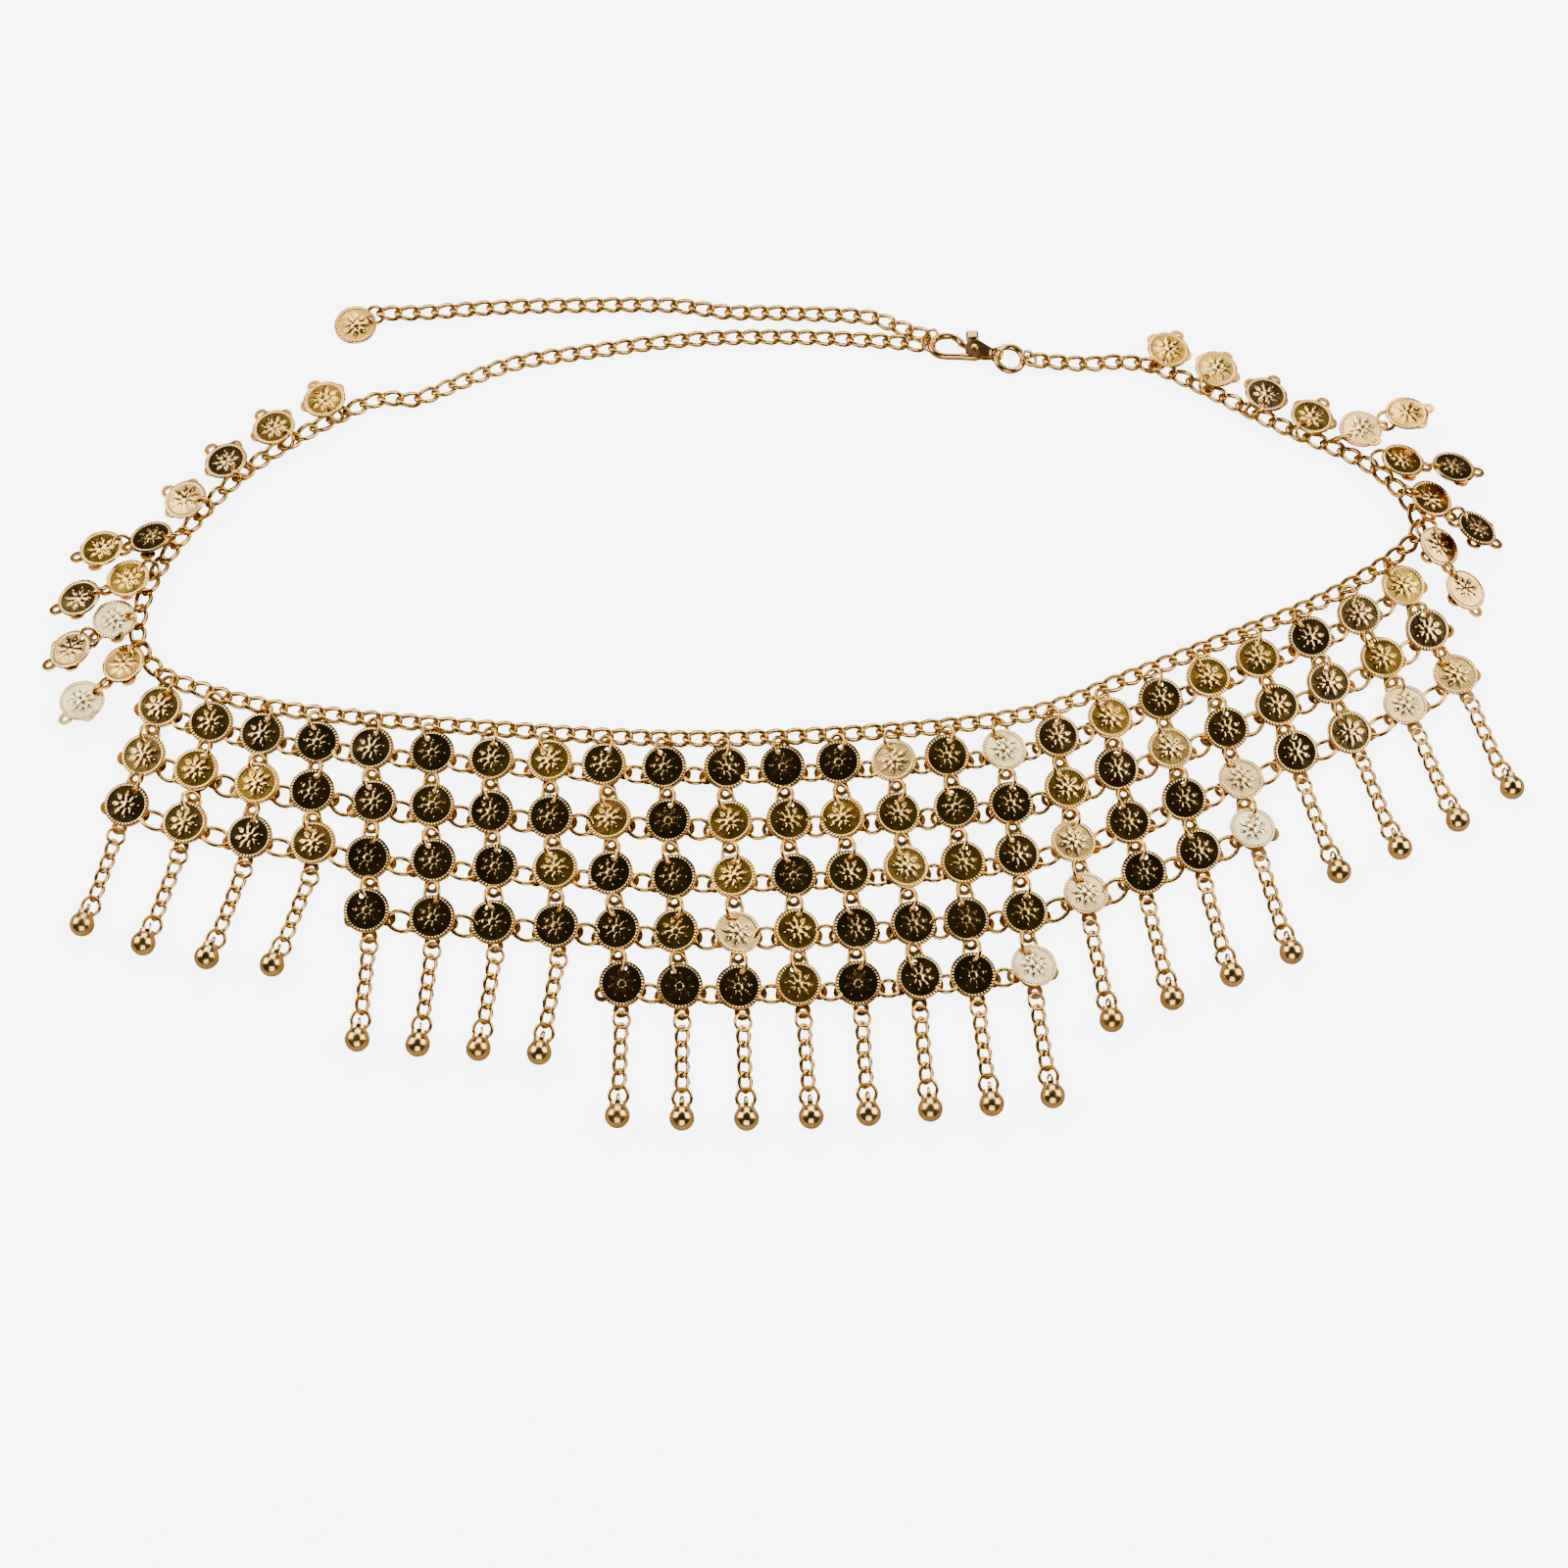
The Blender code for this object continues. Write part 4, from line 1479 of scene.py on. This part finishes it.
    def build_gate(self) -> None:
        """Make the gate: an arm that closes the hook, a hub and a dished thumb tab."""
        arm = self.bent_wire("clasp_gate_arm", self.gate_wire, self.gate_from, self.gate_sweep,
                             self.gate_steps, self.draw_arm)
        hub = add_disc("gate_hub", self.hub_radius, self.hub_thickness, self.hub_sides,
                       self.from_pin(0, 0, self.hub_height))
        with Bench(hub) as bench:
            x, y, z = self.hub_pull
            bench.faces(lambda _, normal: normal.y > UPWARD)
            bench.extrude(x, y, z)
            bench.resize(self.hub_widening, 1, 1,
                         self.from_pin(x, self.hub_radius + y, self.hub_height + z))
        apply_bevel(hub, self.hub_edge)
        middle = self.from_pin(*self.tab_from_pin)
        tab = add_disc("thumb_tab", self.tab_width / math.sqrt(2), self.tab_height, 4, middle)
        with Bench(tab) as bench:
            bench.everything()
            for degrees, axis in ((45, "Z"), (-self.tab_lean, "X"), (-self.tab_lean, "Y")):
                bench.turn(degrees, axis, middle)
        apply_bevel(tab, self.tab_edge, self.tab_edge_steps)
        with Bench(tab) as bench:
            bench.faces(lambda spot, normal: normal.z > UPWARD and spot.z > self.hub_height)
            for width, rise in self.tab_dish:
                bench.inset(width, rise)
        # The thumb tab is painted darker: a painted reflection of the dark room overhead.
        x, y, _ = self.from_pin(*self.tab_beyond, 0)
        self.dress(melt([arm, hub, tab], "clasp_gate_lever"), Body.GATE, "clasp_gate",
                   lambda place: self.tab_painted_reflection_share if place.x > x and place.y > y else 1.0)

    def build_ring(self) -> None:
        """Make the heavy ring that the clasp's eye is tied to."""
        centre = tuple(centred(*self.ring_centre, self.ring_height))
        ring = melt([add_torus("clasp_ring_wire", self.ring_radius, self.ring_wire,
                               *self.ring_sides, centre)], "clasp_ring_wire")
        with Bench(ring) as bench:
            bench.everything()
            bench.turn(self.ring_lean, "Y", centre)
        self.dress(ring, Body.BELT, "clasp_ring")

    def dress(self, piece: Piece, body: Body, node: str,
              bright_share: Callable[[Vector], float] = lambda place: 1.0) -> None:
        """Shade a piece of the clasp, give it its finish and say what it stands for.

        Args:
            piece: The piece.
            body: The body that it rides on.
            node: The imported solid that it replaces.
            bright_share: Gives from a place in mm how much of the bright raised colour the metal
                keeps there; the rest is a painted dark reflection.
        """
        mark(piece.data, Mark.PAINTED_SHINE, lambda place: 0.0)
        hand_over(finished(piece, self.finish, self.crease, bright_share), body, Slot.CLASP, node)


@dataclass
class EndTag:
    """The coin at the end of the spare length, with its ring."""

    patterns: Patterns
    centre: Pair = (-141.5, 162.2)
    height: float = 0.45
    # How strong a painted glint the tag coin's colour gets.
    shine: float = 0.45
    ring_height: float = 1.6
    ring_share: float = 0.18
    ring_tilt: float = 22.0
    ring_scale: float = 0.9

    def build(self) -> None:
        """Lay the coin and its ring."""
        middle = centred(*self.centre, self.height)
        end = centred(*TAIL_ROUTE[-1], self.ring_height)
        step = end - middle
        heading = math.degrees(math.atan2(step.y, step.x))
        ring = end.lerp(middle, self.ring_share)
        tray = Tray("tag_coin")
        tray.lay(self.patterns.coin, Matrix.Translation(middle) @ turned(heading - 90, "Z"),
                 self.shine)
        tray.lay(self.patterns.ring, shift(ring.x, ring.y, self.ring_height)
                 @ turned(heading, "Z") @ turned(self.ring_tilt, "X")
                 @ Matrix.Scale(self.ring_scale, 4))
        tray.join(Body.BELT, Slot.NET, "end_tag")


@dataclass
class Studio:
    """The pale table, the soft lights and the camera at the photograph's angle."""

    lens: float = 64.3
    sensor_width: float = 36.0
    spot_size: float = 330.0
    spot_power: float = 1.0
    floor_size: float = 3000.0
    floor_roughness: float = 0.9
    floor_colour: Colour = (0.97, 0.97, 0.97)
    mirrored_colour: Colour = (0.34, 0.27, 0.20)
    floor_glow: float = 6.0
    zenith: float = 0.29
    horizon: float = 0.66
    horizon_span: Pair = (0.50, 0.98)

    def build(self) -> None:
        """Set up everything round the chain."""
        self.add_floor()
        self.add_sky()
        for x, y, z, size, power in SOFT_BOXES:
            self.add_light(Vector((x, y, z)), size, power)
        for place in SPOT_LAMPS:
            self.add_light(Vector(place), self.spot_size, self.spot_power)
        self.add_camera()

    def add_floor(self) -> None:
        """Lay a pale table under the chain, which mirrors in the gold as a warmer grey."""
        bpy.ops.mesh.primitive_plane_add(size=self.floor_size * MM)
        table = made("pale_table")
        material = bpy.data.materials.new("pale_table")
        material.use_nodes = True
        nodes = material.node_tree.nodes
        links = material.node_tree.links
        shader = nodes["Principled BSDF"]
        shader.inputs["Roughness"].default_value = self.floor_roughness
        ray = nodes.new("ShaderNodeLightPath")
        tint = nodes.new("ShaderNodeMixRGB")
        tint.inputs["Color1"].default_value = (*self.mirrored_colour, 1.0)
        tint.inputs["Color2"].default_value = (*self.floor_colour, 1.0)
        links.new(ray.outputs["Is Camera Ray"], tint.inputs["Fac"])
        links.new(tint.outputs[0], shader.inputs["Base Color"])
        glow = nodes.new("ShaderNodeMath")
        glow.operation = "MULTIPLY"
        glow.inputs[1].default_value = self.floor_glow
        links.new(ray.outputs["Is Camera Ray"], glow.inputs[0])
        shader.inputs["Emission Color"].default_value = (1.0, 1.0, 1.0, 1.0)
        links.new(glow.outputs[0], shader.inputs["Emission Strength"])
        table.data.materials.append(material)

    def add_sky(self) -> None:
        """Surround the table with a room that is dark overhead and bright low down."""
        world = bpy.data.worlds.new("studio")
        world.use_nodes = True
        bpy.context.scene.world = world
        nodes = world.node_tree.nodes
        links = world.node_tree.links
        place = nodes.new("ShaderNodeTexCoord")
        split = nodes.new("ShaderNodeSeparateXYZ")
        ramp = nodes.new("ShaderNodeMapRange")
        ramp.interpolation_type = "SMOOTHSTEP"
        for socket, value in zip(("From Min", "From Max", "To Min", "To Max"),
                                 (*self.horizon_span, self.horizon, self.zenith)):
            ramp.inputs[socket].default_value = value
        links.new(place.outputs["Generated"], split.inputs[0])
        links.new(split.outputs["Z"], ramp.inputs["Value"])
        links.new(ramp.outputs[0], nodes["Background"].inputs["Strength"])

    def add_light(self, place: Vector, size: float, power: float) -> None:
        """Add one soft light that faces the chain.

        Args:
            place: Where it stands, in mm.
            size: Its width in mm.
            power: Its power in watts.
        """
        lamp = bpy.data.lights.new("soft_light", "AREA")
        lamp.size = size * MM
        lamp.energy = power
        holder = bpy.data.objects.new("soft_light", lamp)
        bpy.context.collection.objects.link(holder)
        holder.location = place * MM
        holder.rotation_euler = (-place).to_track_quat("-Z", "Y").to_euler()

    def add_camera(self) -> None:
        """Place the camera as the photograph's was."""
        lens = bpy.data.cameras.new("camera")
        lens.lens = self.lens
        lens.sensor_width = self.sensor_width
        camera = bpy.data.objects.new("camera", lens)
        bpy.context.collection.objects.link(camera)
        camera.location = camera_place() * MM
        camera.rotation_euler = (math.radians(90 - CAMERA_ELEVATION), 0, 0)
        bpy.context.scene.camera = camera


def main() -> None:
    """Dress the frame and set up the studio."""
    logging.basicConfig(level=logging.INFO, format="%(message)s")
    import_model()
    Studio().build()
    group = PlatedMetal().build()
    finishes = {finish.name: finish.build(group)
                for finish in (COIN_GOLD, PLATE_GOLD, WIRE_GOLD, DROP_GOLD, CLASP_GOLD)}
    patterns = Patterns.make(finishes)
    chain = Route(CHAIN_ROUTE)
    CurbChain(chain, CHAIN_STRETCHES, patterns).build()
    CurbChain(Route(TAIL_ROUTE), TAIL_STRETCHES, patterns).build()
    CoinNet(chain, patterns).build()
    SpringClasp(finishes[CLASP_GOLD.name], patterns).build()
    EndTag(patterns).build()
    patterns.clear()


if __name__ == "__main__":
    main()
